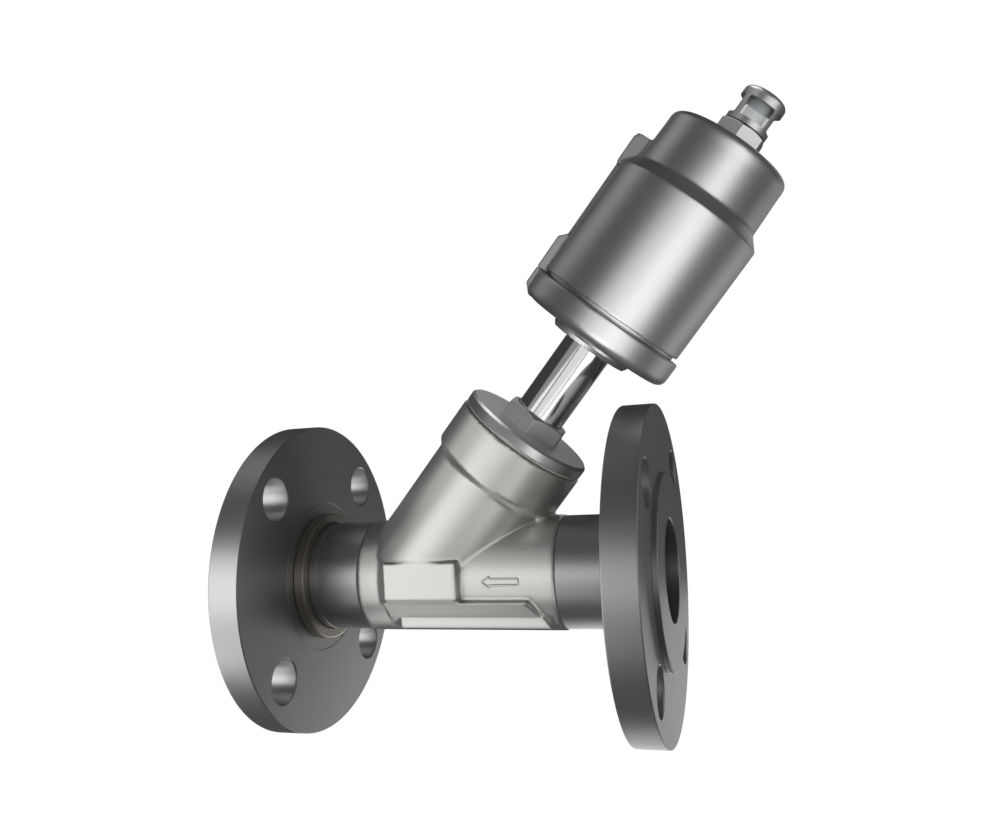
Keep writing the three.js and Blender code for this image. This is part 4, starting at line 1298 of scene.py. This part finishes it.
# ------------------------------------------------------------------ stage
def studio_floor(tone):
    """Pale floor that curves up into a round backdrop."""
    level, sides, flat, bend = CAD_BOX[0].z - 0.1 * MM, 96, 1.0, 0.6
    curve = [math.pi / 24 * i for i in range(1, 13)]
    rings = [(0.0, 0.0), (0.4 * flat, 0.0), (flat, 0.0)]
    rings += [(flat + bend * math.sin(a), bend - bend * math.cos(a)) for a in curve]
    rings += [(flat + bend, 2.2)]
    shape = bmesh.new()
    loops = []
    for radius, height in rings:
        turns = round_turns(sides) if radius else [0]
        loops.append([shape.verts.new((radius * math.cos(a), radius * math.sin(a), level + height))
                      for a in turns])
    for low, high in zip(loops, loops[1:]):
        for i in range(sides):
            on = i + 1
            ends = [low[i % len(low)], low[on % len(low)], high[on % sides], high[i]]
            shape.faces.new(list(dict.fromkeys(ends)))
    mesh = bpy.data.meshes.new("studio_floor")
    shape.to_mesh(mesh)
    shape.free()
    mesh.shade_smooth()
    floor = bpy.data.objects.new("studio_floor", mesh)
    bpy.context.scene.collection.objects.link(floor)
    floor.visible_glossy = floor.visible_diffuse = floor.visible_shadow = False
    made = Finish("studio_floor", Roughness=0.9, Specular_IOR_Level=0.1, Emission_Strength=1.08)
    paint = made.noise(0.3, 3)
    made.feed("Base Color", made.mix(paint, shade(tone, 0.99), tone))
    made.feed("Emission Color", tone)
    mesh.materials.append(made.material)


def softbox(s, name, slots, azimuth, elevation, glow):
    """Soft square light that faces the valve and reaches only some slots.

    Azimuth runs in degrees from the front towards +X, elevation upwards, and glow is a radiance.
    """
    light = bpy.data.lights.new(name, "AREA")
    light.shape = "SQUARE"
    light.size = s.softbox_size
    light.energy = glow * math.pi * s.softbox_size ** 2
    made = bpy.data.objects.new(light.name, light)
    bpy.context.scene.collection.objects.link(made)
    towards = direction(math.radians(azimuth), math.radians(elevation))
    made.location = (CAD_BOX[0] + CAD_BOX[1]) / 2 + towards * s.softbox_distance
    made.rotation_mode = "QUATERNION"
    made.rotation_quaternion = towards.to_track_quat("Z", "Y")
    made.visible_camera = False
    lit = bpy.data.collections.new(f"lit_by_{light.name}")
    for slot in slots:
        lit.children.link(lit_by_slot(slot))
    made.light_linking.receiver_collection = lit


def direction(azimuth, elevation):
    """Unit vector at an azimuth from the front towards +X and an elevation."""
    flat = math.cos(elevation)
    return Vector((math.sin(azimuth) * flat, -math.cos(azimuth) * flat, math.sin(elevation)))


def studio_camera(s):
    """Camera at its fixed place, turned by the stage's three angles."""
    back = direction(s.yaw, s.pitch)
    level = Vector((0, 0, 1)).cross(back).normalized()
    upright = back.cross(level)
    right = level * math.cos(s.roll) + upright * math.sin(s.roll)
    up = back.cross(right)
    camera = bpy.data.cameras.new("camera")
    camera.lens, camera.sensor_width = s.lens, 36
    camera.shift_x, camera.shift_y = s.shift
    camera.clip_start = 0.01
    made = bpy.data.objects.new("camera", camera)
    bpy.context.scene.collection.objects.link(made)
    made.matrix_world = Matrix.Translation(s.camera) @ Matrix((right, up, back)).transposed().to_4x4()
    bpy.context.scene.camera = made


class VALVE_OT_stage(bpy.types.Operator):
    """Floor, soft lights and camera"""

    bl_idname = "valve.stage"
    bl_label = "Stage"

    def execute(self, context):
        s = context.scene.valve_stage
        studio_floor(tuple(s.floor))
        world = bpy.data.worlds.new("surround")
        world.use_nodes = True
        world.node_tree.nodes["Background"].inputs["Color"].default_value = (*s.surround, 1)
        context.scene.world = world
        context.scene.view_settings.view_transform = "Standard"
        # The directions and strengths below mostly come from a least-squares fit of one-light renders
        # to tones of the photo, one fit for each kind of surface, rounded. The names were given after.
        shells, cast, polished = ("blasted_stainless",), ("cast_stainless",), ("polished_stainless",)
        softbox(s, "shell_key", shells, 0, -30, 3.7)
        softbox(s, "shell_low_right", shells, 35, -30, 2.3)
        softbox(s, "shell_front", shells, 0, 0, 1.6)
        softbox(s, "shell_right", shells, 35, 0, 2.5)
        softbox(s, "shell_edge", shells, 130, -30, 0.7)
        softbox(s, "shell_left", shells, -110, 30, 0.35)
        softbox(s, "shell_high_left", shells, -90, 60, 0.6)
        softbox(s, "cast_key", cast, -35, 0, 1.7)
        softbox(s, "cast_front", cast, 0, 0, 1.35)
        softbox(s, "cast_low_left", cast, -35, -30, 1.4)
        softbox(s, "cast_low", cast, 0, -30, 0.4)
        softbox(s, "cast_low_right", cast, 35, -30, 1.4)
        softbox(s, "cast_left", cast, -70, 30, 0.85)
        softbox(s, "cast_high", cast, -35, 30, 0.7)
        softbox(s, "cast_under", cast, -90, -60, 0.85)
        softbox(s, "neck_left", polished, -35, 0, 1.0)
        softbox(s, "neck_front", polished, 0, 0, 0.8)
        softbox(s, "neck_low_left", polished, -35, -30, 1.2)
        softbox(s, "neck_low", polished, 0, -30, 0.9)
        softbox(s, "neck_low_right", polished, 35, -30, 1.4)
        softbox(s, "neck_high", polished, -35, 30, 0.25)
        for azimuth in (145, 180):
            for elevation, glow in ((0, 0.35), (30, 0.5)):
                name = f"fill_{azimuth}_{elevation}"
                softbox(s, name, shells + cast + polished, azimuth, elevation, glow)
        turned = ("turned_stainless", "heat_tinted_weld")
        softbox(s, "flange_key", turned, -35, 0, 2.4)
        softbox(s, "flange_left", turned, -70, -30, 1.6)
        softbox(s, "flange_low_left", turned, -35, -30, 1.0)
        softbox(s, "flange_front", turned, 0, 0, 0.6)
        softbox(s, "flange_right", turned, 35, 0, 0.5)
        softbox(s, "flange_edge", turned, 110, 0, 1.3)
        softbox(s, "flange_behind", turned, 180, -30, 1.7)
        softbox(s, "flange_under", turned, 180, -60, 0.9)
        softbox(s, "flange_high", turned, -90, 60, 0.4)
        small = tuple(slot for slot in FINISHES if slot not in shells + cast + polished + turned)
        softbox(s, "small_key", small, -70, -30, 4.0)
        softbox(s, "small_low_left", small, -35, -30, 2.3)
        softbox(s, "small_low_right", small, 35, -30, 2.8)
        softbox(s, "small_right", small, 35, 0, 1.4)
        softbox(s, "small_edge", small, 70, 0, 1.8)
        softbox(s, "small_left", small, -35, 30, 0.6)
        softbox(s, "small_behind", small, 180, 30, 0.4)
        softbox(s, "small_high", small, 0, 60, 0.7)
        softbox(s, "small_top", small, 0, 90, 2.6)
        studio_camera(s)
        return {"FINISHED"}


# ------------------------------------------------------------------ add-on
OPERATORS = (VALVE_OT_body, VALVE_OT_flanges, VALVE_OT_bonnet, VALVE_OT_actuator, VALVE_OT_sight,
             VALVE_OT_springs, VALVE_OT_plug, VALVE_OT_inner, VALVE_OT_stage)
GROUPS = {
    "valve_body": ValveBodySettings,
    "valve_flanges": ValveFlangeSettings,
    "valve_bonnet": ValveBonnetSettings,
    "valve_actuator": ValveActuatorSettings,
    "valve_sight": ValveSightSettings,
    "valve_finish": ValveFinishSettings,
    "valve_stage": ValveStageSettings,
}


class VALVE_PT_panel(bpy.types.Panel):
    """Lists the steps that build the valve"""

    bl_label = "Angle-seat valve"
    bl_space_type = "VIEW_3D"
    bl_region_type = "UI"
    bl_category = "Valve"

    def draw(self, context):
        for operator in OPERATORS:
            self.layout.operator(operator.bl_idname)


def register():
    """Adds the classes and gives the scene its settings."""
    for made in (*GROUPS.values(), *OPERATORS, VALVE_PT_panel):
        bpy.utils.register_class(made)
    for name, group in GROUPS.items():
        setattr(bpy.types.Scene, name, PointerProperty(type=group))


def unregister():
    """Takes the settings and the classes away again."""
    for name in GROUPS:
        delattr(bpy.types.Scene, name)
    for made in (VALVE_PT_panel, *reversed(OPERATORS), *GROUPS.values()):
        bpy.utils.unregister_class(made)


def main():
    """Builds everything in order."""
    register()
    for operator in OPERATORS:
        area, name = operator.bl_idname.split(".")
        getattr(getattr(bpy.ops, area), name)()


if __name__ == "__main__":
    main()
